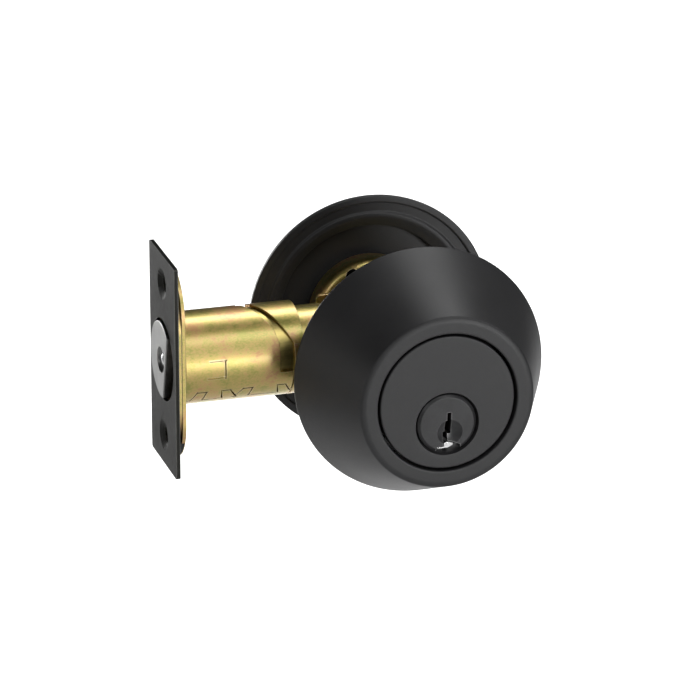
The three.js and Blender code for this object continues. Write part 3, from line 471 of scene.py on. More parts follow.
def rolled(name, inner, outer, front, rear, edge=0.12 * MM):
    """A tube between two edges that are functions of the angle, its rims slightly rounded."""
    steps = [RAMP[0], RAMP[1] - 3, RAMP[1], *TONGUE]
    angles = {round(step + side, 3) for step in steps for side in BESIDE_STEP}
    pitch = 360 / SLICES
    for i in range(SLICES):
        angle = RAMP[0] + pitch / 2 + pitch * i
        if all(abs(wrapped(angle) - wrapped(step)) > CLEAR_OF_STEP for step in steps):
            angles.add(round(angle, 3))
    angles = sorted(angles)
    third = edge / 3
    loop = []
    for end, into in ((front, 1), (rear, -1)):
        corner = [(outer, 2.2), (outer, 1), (outer - third, third / edge), (outer - edge, 0),
                  (inner + edge, 0), (inner + third, third / edge), (inner, 1), (inner, 2.2)]
        if into == 1:
            corner.reverse()
        loop += [(radius, end, into * depth * edge) for radius, depth in corner]
    vertices = []
    for angle in angles:
        theta = math.radians(angle)
        for radius, end, offset in loop:
            vertices.append((end(angle) + offset, -radius * math.sin(theta),
                             latch_axis.z + radius * math.cos(theta)))
    count = len(loop)
    faces = []
    for i in range(len(angles)):
        here, there = i * count, (i + 1) % len(angles) * count
        for j in range(count):
            k = (j + 1) % count
            faces.append((here + j, here + k, there + k, there + j))
    return raw_piece(name, vertices, faces)


def groove(route, width, low_r, high_r):
    """A narrow tool that follows a route of (place, angle) points on the sleeve."""
    tools = []
    for (x0, a0), (x1, a1) in zip(route, route[1:]):
        arc = SLEEVE_R * math.radians(a1 - a0)
        length = math.hypot(x1 - x0, arc)
        along = ((x1 - x0) / length, (a1 - a0) / length)
        across = (-arc / length * width / 2, math.degrees((x1 - x0) / length * width / 2 / SLEEVE_R))
        corners = []
        for share, side in ((0, -1), (0, 1), (1, 1), (1, -1)):
            reach = length + width if share else -width / 2
            corners.append((x0 + along[0] * reach + side * across[0],
                            a0 + along[1] * reach + side * across[1]))
        vertices = []
        for radius in (low_r, high_r):
            for x, angle in corners:
                theta = math.radians(angle)
                vertices.append((x, -radius * math.sin(theta), latch_axis.z + radius * math.cos(theta)))
        faces = [(0, 1, 2, 3), (7, 6, 5, 4), (0, 4, 5, 1), (1, 5, 6, 2), (2, 6, 7, 3), (3, 7, 4, 0)]
        tools.append(raw_piece("tool", vertices, faces))
    return tools


front_sleeve = rolled(
    "front_sleeve_rolled", SLEEVE_R - SLEEVE_WALL, SLEEVE_R, lambda a: sleeve_low.x, front_edge)
SEAM_WIDTH = 0.34 * MM
SEAM_HIGH, SEAM_LOW = 121, 139  # degrees: tops and roots of the dovetails
DOVETAILS = ((3.4, 1.5, 2.5, -0.7), (9.8, -0.7, 2.4, 2.2), (15.6, 2.3, 2.5, -0.7), (24.6, -0.8, 2.3, 2.6))
seam = [(sleeve_low.x - MM, SEAM_LOW)]
for x, lean_in, width, lean_out in DOVETAILS:  # mm along the sleeve from its front
    start = sleeve_low.x + x * MM
    seam += [(start - lean_in * MM, SEAM_LOW), (start, SEAM_HIGH), (start + width * MM, SEAM_HIGH),
             (start + (width + lean_out) * MM, SEAM_LOW)]
seam[-1] = (REAR_EDGE_X - 0.6 * MM, SEAM_LOW - 3)
pierced(front_sleeve, *groove(seam, SEAM_WIDTH, SLEEVE_R - SLEEVE_WALL - 0.1 * MM, SLEEVE_R + MM))
TAB_X = (sleeve_low.x + 6.2 * MM, sleeve_low.x + 10.6 * MM)
TAB_ANGLE = (78.0, 100.0)
TAB_CUT = 0.45 * MM
TAB_CUT_DEPTH = 0.6 * MM
tab = [(TAB_X[0] + 0.3 * MM, TAB_ANGLE[0]), (TAB_X[1], TAB_ANGLE[0]), (TAB_X[1], TAB_ANGLE[1]),
       (TAB_X[0], TAB_ANGLE[1])]
pierced(front_sleeve, *groove(tab, TAB_CUT, SLEEVE_R - TAB_CUT_DEPTH, SLEEVE_R + MM))
lug_low, lug_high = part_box("backset_sleeve")
LUG_LENGTH = 2 * MM
LUG_HALF = 1.5 * MM
LUG_X = lug_low.x + 0.9 * MM
LUG_PLAY = 0.3 * MM
pierced(front_sleeve, cutter(
    (LUG_X - LUG_PLAY, 9 * MM, latch_axis.z - LUG_HALF - LUG_PLAY),
    (LUG_X + LUG_LENGTH + BACKSET_TRAVEL + LUG_PLAY, 14 * MM, latch_axis.z + LUG_HALF + LUG_PLAY)))
fitted(smoothed(front_sleeve), "front_sleeve", yellow_zinc)

# ---- Rear sleeve, inner backset sleeve and bush -------------------------------------------------
# The rear sleeve is fixed to the case and its ramp stops the front one; the inner sleeve joins them and turns
# with the faceplate, keyed by a lug in the front sleeve's slot. A nylon bush guides the bolt.
rear_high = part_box("rear_sleeve")[1]
REAR_WALL = 0.8 * MM
REAR_WALL_BORE_R = 6 * MM
REAR_SEAM_WIDTH = 0.2 * MM
DENT_R = 0.35 * MM
rear_sleeve = rolled(
    "rear_sleeve_rolled", SLEEVE_R - SLEEVE_WALL, SLEEVE_R, rear_edge, lambda a: rear_high.x)
rear_wall = tube("rear_wall", "x", REAR_WALL_BORE_R, SLEEVE_R - 0.3 * MM, rear_high.x - REAR_WALL,
                 rear_high.x - 0.02 * MM, latch_axis, 0, 0)
welded(rear_sleeve, rear_wall)
rear_seam = [(REAR_EDGE_X - 0.5 * MM, 67.5), (rear_high.x + MM, 67.0)]
dent_top = latch_axis.z + SLEEVE_R + 0.2 * MM
dent = turned("tool", "z", [(0, latch_axis.z + SLEEVE_R - DENT_R), (DENT_R, dent_top), (0, dent_top)],
              Vector((rear_high.x - 7.2 * MM, 0.5 * MM, 0)), 24)
pierced(rear_sleeve, *groove(rear_seam, REAR_SEAM_WIDTH, SLEEVE_R - 0.4 * MM, SLEEVE_R + MM), dent)
fitted(smoothed(rear_sleeve), "rear_sleeve", yellow_zinc)

INNER_R = SLEEVE_R - SLEEVE_WALL - 0.2 * MM
INNER_WALL = 0.7 * MM
inner_sleeve = tube("inner_sleeve_rolled", "x", INNER_R - INNER_WALL, INNER_R, lug_low.x, lug_high.x,
                    latch_axis)
welded(inner_sleeve, cutter((LUG_X, INNER_R - 0.4 * MM, latch_axis.z - LUG_HALF),
                            (LUG_X + LUG_LENGTH, SLEEVE_R - 0.1 * MM, latch_axis.z + LUG_HALF)))
# Painted light: a second copy of the yellow zinc for the inner sleeve, more olive and lighter, with its
# colours set to how the sleeve looks down in the recess between the other two sleeves rather than to its own
# plating.
shaded_zinc = coat(
    "Yellow zinc painted for the recess shade", [(0.35, (0.52, 0.43, 0.14)), (0.6, (0.66, 0.53, 0.2))], (0.3, 0.42), 1.0,
    0.003 * MM, cloud_scale=90, grain_scale=2200, stretch=(0.2, 1, 1),
)
fitted(smoothed(inner_sleeve), "backset_sleeve", shaded_zinc)

bush_low, bush_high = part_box("bolt_guide_bush")
BUSH_BORE_R = 10.4 * MM
CLOSE_FIT = 0.05 * MM  # clearance of a part that is pressed or snapped in place
RUNNING_FIT = 0.1 * MM  # clearance of a part that turns or slides
BUSH_R = SLEEVE_R - SLEEVE_WALL - CLOSE_FIT
bush = tube("guide_bush_moulded", "x", BUSH_BORE_R, BUSH_R, bush_low.x, bush_high.x, latch_axis, 0.2 * MM,
            0.1 * MM)
fitted(smoothed(bush), "bolt_guide_bush", black_nylon)

# ---- Bolt, roller and tail ----------------------------------------------------------------------
# The bolt is a machined steel bar with a flat along its exterior side, brushed on its end face. A hardened
# roller spins in its bore, and a swivel button on the stamped tail sits in its rear bore.
bolt_low, bolt_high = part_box("deadbolt")
BOLT_R = 10.2 * MM
FLAT_Y = bolt_low.y
CORNER = 4.4 * MM  # the lower exterior corner is cut away
brushed_steel = coat(
    "Brushed bolt steel", [(0.35, (0.19, 0.19, 0.185)), (0.65, (0.29, 0.29, 0.28))], (0.3, 0.44), 1.0,
    0.004 * MM, cloud_scale=110, grain_scale=3000, stretch=(1, 1, 0.08), edge_highlight_colour=(0.85, 0.85, 0.84),
    edge_highlight_share=0.9,
)
outline = []
flat_angle = math.acos(FLAT_Y / BOLT_R)
for i in range(ROUND):
    angle = -flat_angle + 2 * flat_angle * i / (ROUND - 1)
    y, z = BOLT_R * math.cos(angle), BOLT_R * math.sin(angle)
    from_flat, from_bottom = y - FLAT_Y, z + BOLT_R
    if max(from_flat, from_bottom) < CORNER and from_flat + from_bottom < CORNER * 1.15:
        continue
    outline.append((y, latch_axis.z + z))
bolt = sheet_between("bolt_machined", "x", outline, bolt_low.x, bolt_high.x)
roller_low, roller_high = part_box("anti_saw_roller")
ROLLER_R = 2.7 * MM
ROLLER_BORE_R = ROLLER_R + 0.1 * MM
MOUTH_R = ROLLER_R + 0.6 * MM
MOUTH_DEPTH = 0.25 * MM
BUTTON_BORE_R = 5.2 * MM
tail_low, tail_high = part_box("bolt_tail")
edges_broken(bolt, 0.35 * MM, 3, 30)
roller_bore = turned("tool", "x", [
    (0, bolt_low.x - MM), (MOUTH_R + MM, bolt_low.x - MM), (MOUTH_R, bolt_low.x + MOUTH_DEPTH),
    (MOUTH_R, bolt_low.x + MM), (ROLLER_BORE_R, bolt_low.x + MM), (ROLLER_BORE_R, roller_high.x + 0.4 * MM),
    (0, roller_high.x + 0.4 * MM),
], latch_axis, 96)
pierced(bolt, roller_bore,
        drill("x", BUTTON_BORE_R, tail_low.x - 1.5 * MM, bolt_high.x + MM, latch_axis, 96))
fitted(smoothed(bolt), "deadbolt", brushed_steel)

bright_steel = coat(
    "Bright hard steel", [(0.35, (0.6, 0.6, 0.6)), (0.65, (0.74, 0.74, 0.74))], (0.2, 0.32), 1.0,
    0.0015 * MM, cloud_scale=200, grain_scale=5000, edge_highlight_colour=(0.9, 0.9, 0.9),
)
roller = turned("roller_ground", "x", [
    (0, roller_low.x - 0.6 * MM), (0.9 * MM, roller_low.x - 0.5 * MM), (1.6 * MM, roller_low.x - 0.15 * MM),
    (2.2 * MM, roller_low.x + 0.4 * MM), (ROLLER_R, roller_low.x + 1.2 * MM, 0.3 * MM),
    (ROLLER_R, roller_high.x, 0.2 * MM), (0, roller_high.x)], latch_axis, 64)
fitted(smoothed(roller), "anti_saw_roller", bright_steel)

TAIL_HALF = 1.3 * MM
SHANK_HALF = 2 * MM
BUTTON_R = 4.5 * MM
BUTTON_LENGTH = 1.8 * MM
HEAD_WIDTH = 9 * MM
TAIL_RIM = 2.4 * MM
HEAD_CORNER = 2 * MM
head_u = (tail_high.x - HEAD_WIDTH, tail_high.x)
shank_z = (latch_axis.z - SHANK_HALF, latch_axis.z + SHANK_HALF)
tail_outline = [(tail_low.x + MM, shank_z[0]), (head_u[1] - MM, shank_z[0]), (head_u[1], shank_z[0] + MM)]
for u, side in ((head_u[1] - HEAD_CORNER, 1), (head_u[0] + HEAD_CORNER, -1)):
    for i in range(9)[::side]:
        a = math.pi / 2 * i / 8
        tail_outline.append((u + side * HEAD_CORNER * math.cos(a),
                             tail_high.z - HEAD_CORNER + HEAD_CORNER * math.sin(a)))
tail_outline += [(head_u[0], shank_z[1] + 1.5 * MM), (head_u[0] - 0.5 * MM, shank_z[1] + 0.5 * MM),
                 (head_u[0] - 1.5 * MM, shank_z[1]), (tail_low.x + MM, shank_z[1])]
tail = sheet_between("tail_strap", "y", tail_outline, -TAIL_HALF, TAIL_HALF)
tail_slot_z = shank_z[0] + 5.3 * MM
pierced(tail, cutter((head_u[0] + TAIL_RIM, -5 * MM, tail_slot_z),
                     (head_u[1] - TAIL_RIM, 5 * MM, tail_high.z - TAIL_RIM)))
edges_broken(tail, 0.15 * MM)
welded(tail, rod("button", "x", BUTTON_R, tail_low.x, tail_low.x + BUTTON_LENGTH, latch_axis, 0.4 * MM, 64))
fitted(smoothed(tail), "bolt_tail", yellow_zinc)

# ---- Latch case, crank and detent spring --------------------------------------------------------
# Two stamped half cases, each a plate and half a tube, clamped on spacers by three rivets. The crank turns in
# their holes and its riveted pin drives the tail; a leaf spring under its hub holds it at either end.
CASE_TUBE_WALL = 0.8 * MM
CASE_TUBE_END_X = -19.2 * MM
CASE_PLATE_WALL = 1.2 * MM
CASE_PLATE_OUT = 7.4 * MM
HALVES_APART = 0.2 * MM
CASE_SPAN = 20 * MM
JOURNAL_R = 4.0 * MM
MOUNT_SCREW_X = 19 * MM
MOUNT_SCREW_R = 2.0 * MM
SCREW_PLAY = 0.7 * MM
RIVETS = ((19.6, 9), (9.5, -9), (-9.5, -9))  # mm from the cross bore's axis
RIVET_R = 1.5 * MM
plug_axis = Vector((0, 0, joint_at["plug_turn"][2]))
screw_axes = [plug_axis + Vector((side * MOUNT_SCREW_X, 0, 0)) for side in (-1, 1)]
rivet_axes = [Vector((x * MM, 0, z * MM)) for x, z in RIVETS]


def half_case(node, side):
    """Half a tube and a plate on one side of the latch's middle plane, joined by a tongue."""
    low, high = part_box(node)
    tube_r = max(abs(low.y), abs(high.y))
    shell = tube("half_case", "x", tube_r - CASE_TUBE_WALL, tube_r, low.x, CASE_TUBE_END_X, latch_axis,
                 edge=0.2 * MM)
    across_y = sorted((-side * FAR, side * HALVES_APART / 2))
    pierced(shell, cutter((-FAR, across_y[0], -FAR), (FAR, across_y[1], FAR)))
    near, far = sorted((side * (CASE_PLATE_OUT - CASE_PLATE_WALL), side * CASE_PLATE_OUT))
    plate_outline = rectangle((CASE_TUBE_END_X + high.x) / 2, (low.z + high.z) / 2,
                              high.x - CASE_TUBE_END_X, high.z - low.z, 1.2 * MM)
    plate = sheet_between("case_plate", "y", plate_outline, near, far)
    tongue_half = math.sqrt(tube_r ** 2 - CASE_PLATE_OUT ** 2) - 0.15 * MM
    tongue_outline = rectangle(CASE_TUBE_END_X - MM, latch_axis.z, 4 * MM, 2 * tongue_half, 0.3 * MM)
    welded(shell, sheet_between("case_tongue", "y", tongue_outline, near + 0.02 * MM, far - 0.02 * MM))
    welded(shell, edges_broken(plate, 0.16 * MM))
    return pierced(
        shell, drill("y", JOURNAL_R + RUNNING_FIT, -CASE_SPAN, CASE_SPAN, plug_axis),
        *[drill("y", MOUNT_SCREW_R + SCREW_PLAY, -CASE_SPAN, CASE_SPAN, at, 48) for at in screw_axes],
        *[drill("y", RIVET_R + CLOSE_FIT, -CASE_SPAN, CASE_SPAN, at, 48) for at in rivet_axes],
    )


for node, side in (("latch_case_exterior", -1), ("latch_case_interior", 1)):
    fitted(smoothed(half_case(node, side)), node, yellow_zinc)


def geometry_tree(name, sockets):
    """An empty geometry tree with named float inputs."""
    tree = bpy.data.node_groups.new(name, "GeometryNodeTree")
    tree.interface.new_socket(name="Places", in_out="INPUT", socket_type="NodeSocketGeometry")
    for socket, value in sockets:
        made = tree.interface.new_socket(name=socket, in_out="INPUT", socket_type="NodeSocketFloat")
        made.default_value = value
    tree.interface.new_socket(name="Made", in_out="OUTPUT", socket_type="NodeSocketGeometry")
    return tree, tree.nodes.new("NodeGroupInput"), tree.nodes.new("NodeGroupOutput")


def grown(name, tree, places, values):
    """Runs a geometry tree over a set of places and keeps the mesh it makes."""
    mesh = bpy.data.meshes.new(name)
    mesh.from_pydata([tuple(at) for at in places], [], [])
    piece = bpy.data.objects.new(name, mesh)
    bpy.context.scene.collection.objects.link(piece)
    nodes = piece.modifiers.new("grown", "NODES")
    nodes.node_group = tree
    for item in tree.interface.items_tree:
        if item.in_out == "INPUT" and item.name in values:
            nodes[item.identifier] = values[item.name]
    return settled(piece)


def placed_copies(tree, group_in, group_out, shape, finish, rotation):
    """Ends a geometry tree with copies of a shape at each place, made real and finished."""
    copies = added(tree, "GeometryNodeInstanceOnPoints", {
        "Points": group_in.outputs["Places"], "Instance": shape, "Rotation": rotation})
    real = added(tree, "GeometryNodeRealizeInstances", {"Geometry": copies.outputs["Instances"]})
    skin = added(tree, "GeometryNodeSetMaterial", {"Geometry": real.outputs["Geometry"], "Material": finish})
    tree.links.new(skin.outputs["Geometry"], group_out.inputs["Made"])


# A rivet: a shank and two flattened domes, copied to each place.
ALONG_Y = (math.pi / 2, 0, 0)
rivet_tree, rivet_in, rivet_out = geometry_tree("Rivets", [
    ("Shank radius", RIVET_R), ("Head radius", 2.4 * MM), ("Head height", 0.8 * MM),
    ("Half length", CASE_PLATE_OUT)])
shank = added(rivet_tree, "GeometryNodeMeshCylinder", {
    "Vertices": 48, "Radius": rivet_in.outputs["Shank radius"],
    "Depth": maths(rivet_tree, "MULTIPLY", rivet_in.outputs["Half length"], 2)})
rivet_parts = added(rivet_tree, "GeometryNodeJoinGeometry", {"Geometry": shank.outputs["Mesh"]})
for side in (-1, 1):
    dome = added(rivet_tree, "GeometryNodeMeshUVSphere", {"Segments": 48, "Rings": 24, "Radius": 1})
    flattened = added(rivet_tree, "ShaderNodeCombineXYZ", {
        "X": rivet_in.outputs["Head radius"], "Y": rivet_in.outputs["Head radius"],
        "Z": rivet_in.outputs["Head height"]})
    lift = added(rivet_tree, "ShaderNodeCombineXYZ", {
        "Z": maths(rivet_tree, "MULTIPLY", rivet_in.outputs["Half length"], side)})
    seat = added(rivet_tree, "GeometryNodeTransform", {
        "Geometry": dome.outputs["Mesh"], "Scale": flattened.outputs["Vector"],
        "Translation": lift.outputs["Vector"]})
    rivet_tree.links.new(seat.outputs["Geometry"], rivet_parts.inputs["Geometry"])
placed_copies(rivet_tree, rivet_in, rivet_out, rivet_parts.outputs["Geometry"], brushed_steel, ALONG_Y)
rivet_low, rivet_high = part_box("case_rivet_1")
rivets = grown("case_rivets", rivet_tree, rivet_axes, {
    "Shank radius": RIVET_R, "Head radius": (rivet_high.x - rivet_low.x) / 2, "Head height": 0.75 * MM,
    "Half length": CASE_PLATE_OUT})
fitted(smoothed(rivets), ["case_rivet_1", "case_rivet_2", "case_rivet_3"], brushed_steel)

HUB_R = 4.8 * MM
HUB_HALF = 6.0 * MM
JOURNAL_HALF = 7.8 * MM
ARM = (2.0 * MM, 4.6 * MM)
ARM_END_R = 3.1 * MM
CRANK_RADIUS = 17.96 * MM
CRANK_PIN_R = 1.5 * MM
CRANK_PIN_END = -2.5 * MM
SLOT_HALF = (1.2 * MM, 3.2 * MM)
CRANK_LEAN = math.radians(45)  # at rest, with the bolt drawn in
lean = Matrix.Translation(plug_axis) @ Matrix.Rotation(CRANK_LEAN, 4, "Y") @ Matrix.Translation(-plug_axis)
pin_axis = plug_axis + Vector((0, 0, CRANK_RADIUS))


def tailpiece_slot(low_y, high_y):
    """A tool for the flat slot that takes the tailpiece."""
    return cutter((-SLOT_HALF[0], low_y, plug_axis.z - SLOT_HALF[1]),
                  (SLOT_HALF[0], high_y, plug_axis.z + SLOT_HALF[1]))


crank = turned("crank_machined", "y", [
    (0, -JOURNAL_HALF), (JOURNAL_R, -JOURNAL_HALF, 0.3 * MM), (JOURNAL_R, -HUB_HALF),
    (HUB_R, -HUB_HALF, 0.3 * MM), (HUB_R, HUB_HALF, 0.3 * MM), (JOURNAL_R, HUB_HALF),
    (JOURNAL_R, JOURNAL_HALF, 0.3 * MM), (0, JOURNAL_HALF),
], plug_axis, 96)
arm_outline = [(ARM_END_R * math.cos(a), pin_axis.z + ARM_END_R * math.sin(a))
               for a in [math.pi * i / 24 for i in range(25)]]
arm_outline += [(0.3 * MM - HUB_R, plug_axis.z), (HUB_R - 0.3 * MM, plug_axis.z)]
welded(crank, edges_broken(sheet_between("crank_arm", "y", arm_outline, *ARM), 0.2 * MM))
pierced(crank, drill("y", CRANK_PIN_R + CLOSE_FIT, 0, 10 * MM, pin_axis, 48),
        tailpiece_slot(-CASE_SPAN, CASE_SPAN))
crank.data.transform(lean)
fitted(smoothed(crank), "bolt_crank", yellow_zinc)
crank_pin = turned("crank_pin_turned", "y", [
    (0, CRANK_PIN_END), (CRANK_PIN_R, CRANK_PIN_END, 0.3 * MM), (CRANK_PIN_R, ARM[1], 0.2 * MM), (0, ARM[1]),
], pin_axis, 64)
crank_pin.data.transform(lean)
fitted(smoothed(crank_pin), "crank_pin", bright_steel)

leaf_low, leaf_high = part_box("detent_spring")
LEAF_R = 26 * MM
LEAF_THICKNESS = 0.5 * MM
leaf_half = math.asin((leaf_high.x - leaf_low.x) / 2 / LEAF_R)
leaf_outline = []
for radius, ends in ((LEAF_R, (-leaf_half, leaf_half)), (LEAF_R - LEAF_THICKNESS, (leaf_half, -leaf_half))):
    for i in range(25):
        angle = ends[0] + (ends[1] - ends[0]) * i / 24
        leaf_outline.append((radius * math.sin(angle), leaf_high.z - LEAF_R + radius * math.cos(angle)))
leaf = edges_broken(sheet_between("detent_leaf", "y", leaf_outline, leaf_low.y, leaf_high.y), 0.08 * MM)
fitted(smoothed(leaf), "detent_spring", bright_steel)

# ---- Exterior collar and its guard ring ---------------------------------------------------------
# Heavy spun cone in matte black powder coat, with a flat ring round the cylinder and its front edge rounded
# over. A loose hardened ring sits inside it round the cylinder, to turn a drill or a wrench aside.
matte_black = coat(
    "Matte black powder coat", [(0.3, (0.022, 0.022, 0.023)), (0.7, (0.029, 0.029, 0.0305))], (0.42, 0.52),
    0.0, 0.01 * MM, cloud_scale=45, grain_scale=2600, edge_highlight_colour=(0.085, 0.085, 0.09), edge_highlight_share=0.7,
)
collar_low, collar_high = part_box("exterior_collar")
COLLAR_BASE_R = collar_high.x
COLLAR_FACE_R = 22.3 * MM
COLLAR_OPENING_R = 18.4 * MM
COLLAR_WALL = 1.8 * MM
LIP = 3.4 * MM
front_y, base_y = collar_low.y, collar_high.y
collar = turned("collar_spinning", "y", [
    (COLLAR_BASE_R - COLLAR_WALL, base_y, 0.2 * MM),
    (COLLAR_BASE_R, base_y, 0.25 * MM),
    (COLLAR_BASE_R, base_y - 0.6 * MM, 0.4 * MM),
    (COLLAR_FACE_R + 0.45 * MM, front_y + 0.3 * MM, 1.2 * MM),
    (COLLAR_FACE_R - 0.7 * MM, front_y, 0.8 * MM),
    (COLLAR_OPENING_R, front_y, 0.45 * MM),
    (COLLAR_OPENING_R, front_y + LIP, 0.2 * MM),
    (COLLAR_FACE_R - 0.9 * MM, front_y + LIP, 0.3 * MM),
    (COLLAR_BASE_R - COLLAR_WALL, base_y - 1.6 * MM, 0.5 * MM),
], lock_axis, 256)
fitted(smoothed(collar, 50), "exterior_collar", matte_black)

ring_low, ring_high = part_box("collar_guard_ring")
guard_ring = tube("guard_ring_turned", "y", COLLAR_OPENING_R + 0.8 * MM, ring_high.x, ring_low.y, ring_high.y,
                  lock_axis, 0.3 * MM, 0.3 * MM)
fitted(smoothed(guard_ring), "collar_guard_ring", bright_steel)

# ---- Cylinder housing ---------------------------------------------------------------------------
# Zinc casting: a painted round face, the plug's barrel with the pin tower above it, and a flange with two
# threaded posts for the mounting screws. A brass strip closes the pin chambers.
housing_low, housing_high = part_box("cylinder_housing")
plug_low, plug_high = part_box("key_plug")
cover_low, cover_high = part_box("pin_chamber_cover")
CYLINDER_R = 17.7 * MM
FACE_DEPTH = 4.2 * MM
PLUG_R = 6.35 * MM
PLUG_FACE_R = (plug_high.x - plug_low.x) / 2
BARREL_R = PLUG_R + 3.2 * MM
TOWER_HALF = 4.6 * MM
TOWER_TOP = cover_high.z
FLANGE = (-25.0 * MM, -21.6 * MM)
FLANGE_R = housing_high.x
POST_R = 3.7 * MM
SHOULDER_R = ring_high.x - 0.2 * MM
SHOULDER_END_Y = -27.4 * MM
PIN_R = 1.42 * MM
PIN_CLEARANCE = 0.08 * MM
FACE_BORE_R = PLUG_FACE_R + 0.55 * MM
FACE_BORE_DEPTH = 1.9 * MM
FACE_CHAMFER = 0.15 * MM
pin_boxes = [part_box(f"key_pin_{i}") for i in range(1, 6)]
pin_places = [Vector((0, (low.y + high.y) / 2, 0)) for low, high in pin_boxes]
chamber_bottom = min(low.z for low, high in pin_boxes) - 0.2 * MM
face_y = housing_low.y
tower_y = (face_y + 3 * MM, FLANGE[0] + MM)
housing = turned("housing_casting", "y", [
    (0, face_y), (CYLINDER_R, face_y, 0.4 * MM), (CYLINDER_R, face_y + FACE_DEPTH, 0.2 * MM),
    (0, face_y + FACE_DEPTH)], lock_axis)
tower = cutter((-TOWER_HALF, tower_y[0], plug_axis.z), (TOWER_HALF, tower_y[1], TOWER_TOP))
flange = turned("flange", "y", [
    (0, FLANGE[0]), (FLANGE_R, FLANGE[0], 0.5 * MM), (FLANGE_R, FLANGE[1], 0.3 * MM), (0, FLANGE[1]),
], lock_axis)
posts = [
    turned("post", "y", [
        (0, FLANGE[0] + MM), (POST_R, FLANGE[0] + MM), (POST_R - 0.25 * MM, housing_high.y, 0.4 * MM),
        (0, housing_high.y)], at, 64)
    for at in screw_axes
]
barrel = drill("y", BARREL_R, *tower_y, plug_axis, 96)
shoulder = rod("shoulder", "y", SHOULDER_R, ring_high.y + 0.02 * MM, SHOULDER_END_Y, lock_axis, 0.3 * MM)
welded(housing, barrel, edges_broken(tower, 0.5 * MM, 3), shoulder, flange, *posts)
face_bore = turned("tool", "y", [
    (0, face_y - MM), (FACE_BORE_R + FACE_CHAMFER + MM, face_y - MM), (FACE_BORE_R, face_y + FACE_CHAMFER),
    (FACE_BORE_R, face_y + FACE_BORE_DEPTH), (0, face_y + FACE_BORE_DEPTH)], plug_axis, 128)
pierced(
    housing, drill("y", PLUG_R + RUNNING_FIT, face_y - MM, 0, plug_axis, 96), face_bore,
    *[drill("z", PIN_R + PIN_CLEARANCE, chamber_bottom, TOWER_TOP + MM, at, 32) for at in pin_places],
    cutter(cover_low - Vector((1, 1, 1)) * CLOSE_FIT,
           (cover_high.x + CLOSE_FIT, cover_high.y + CLOSE_FIT, TOWER_TOP + MM)),
    *[drill("y", MOUNT_SCREW_R + RUNNING_FIT, FLANGE[0] - MM, housing_high.y + MM, at, 48)
      for at in screw_axes],
)
fitted(smoothed(housing), "cylinder_housing", matte_black)
brass = coat("Turned brass", [(0.35, (0.58, 0.40, 0.14)), (0.65, (0.68, 0.5, 0.2))], (0.2, 0.34), 1.0,
             0.002 * MM, cloud_scale=120, grain_scale=3500, edge_highlight_colour=(0.9, 0.75, 0.4))
cover = edges_broken(cutter(cover_low, cover_high), 0.1 * MM)
cover.name = "pin_cover_strip"
fitted(smoothed(cover), "pin_chamber_cover", brass)

# ---- Key plug with its pins, clip and tailpiece -------------------------------------------------
# Turned plug with a broached keyway that runs out below a round dimple, where a bright guide shows. Brass key
# pins lie in it, steel drivers and springs stand above it; a clip holds it and a flat tailpiece leaves it.
satin_plug = coat(
    "Satin black plug", [(0.3, (0.024, 0.024, 0.025)), (0.7, (0.034, 0.034, 0.036))], (0.32, 0.42), 0.1,
    0.006 * MM, cloud_scale=160, grain_scale=3600, edge_highlight_colour=(0.3, 0.3, 0.3), edge_highlight_share=0.8,
)
plug_y = plug_low.y
FACE_RIM_DEPTH = 1.6 * MM
NECK_R = 4.6 * MM
PLUG_END = FLANGE[1] + 0.4 * MM
PLUG_CHAMFER = (0.75 * MM, 0.5 * MM)
plug = turned("plug_turned", "y", [
    (0, plug_y), (PLUG_FACE_R - PLUG_CHAMFER[0], plug_y, 0.1 * MM),
    (PLUG_FACE_R, plug_y + PLUG_CHAMFER[1], 0.15 * MM), (PLUG_FACE_R, plug_y + FACE_RIM_DEPTH),
    (PLUG_R, plug_y + FACE_RIM_DEPTH), (PLUG_R, PLUG_END, 0.2 * MM),
    (NECK_R, PLUG_END), (NECK_R, plug_high.y, 0.2 * MM), (0, plug_high.y)], plug_axis)
DIMPLE = Vector((0.76 * MM, 0, plug_axis.z - 2.4 * MM))
DIMPLE_R = 3.4 * MM
DIMPLE_DEPTH = 1.1 * MM
ball_r = (DIMPLE_R ** 2 + DIMPLE_DEPTH ** 2) / (2 * DIMPLE_DEPTH)
ball_y = plug_y + DIMPLE_DEPTH - ball_r
ball = [(0, ball_y - ball_r)]
ball += [(ball_r * math.sin(a), ball_y - ball_r * math.cos(a))
         for a in [math.pi * i / 24 for i in range(1, 24)]]
ball += [(0, ball_y + ball_r)]
KEYWAY = (((0.0, 0.5), (1.1, 2.95)), ((-0.45, -3.0), (1.25, 0.9)), ((-1.0, -5.2), (0.3, -2.3)))  # mm, x and z
KEYWAY_END = PLUG_END - 2 * MM
GUIDE_OUTLINE = ((-2.6, -6.35), (-0.84, -6.1), (-0.77, -5.25), (-0.1, -4.9), (1.65, -5.3), (1.5, -5.9),
                 (0.2, -6.5), (-2.5, -6.6))
GUIDE_DEPTH = (0.15 * MM, 1.2 * MM)
RUN_OUT = ((-2.8, -6.15), (-1.0, -5.95), (-0.95, -5.15), (-0.2, -4.75), (1.8, -5.15), (3.4, -5.75), (4.2, -9),
           (-2.8, -9))
RUN_OUT_DEPTH = 4 * MM
tailpiece_low, tailpiece_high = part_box("tailpiece")


def on_plug(outline):
    """An outline in mm from the plug's axis, as places on its face."""
    return [(x * MM, plug_axis.z + z * MM) for x, z in outline]


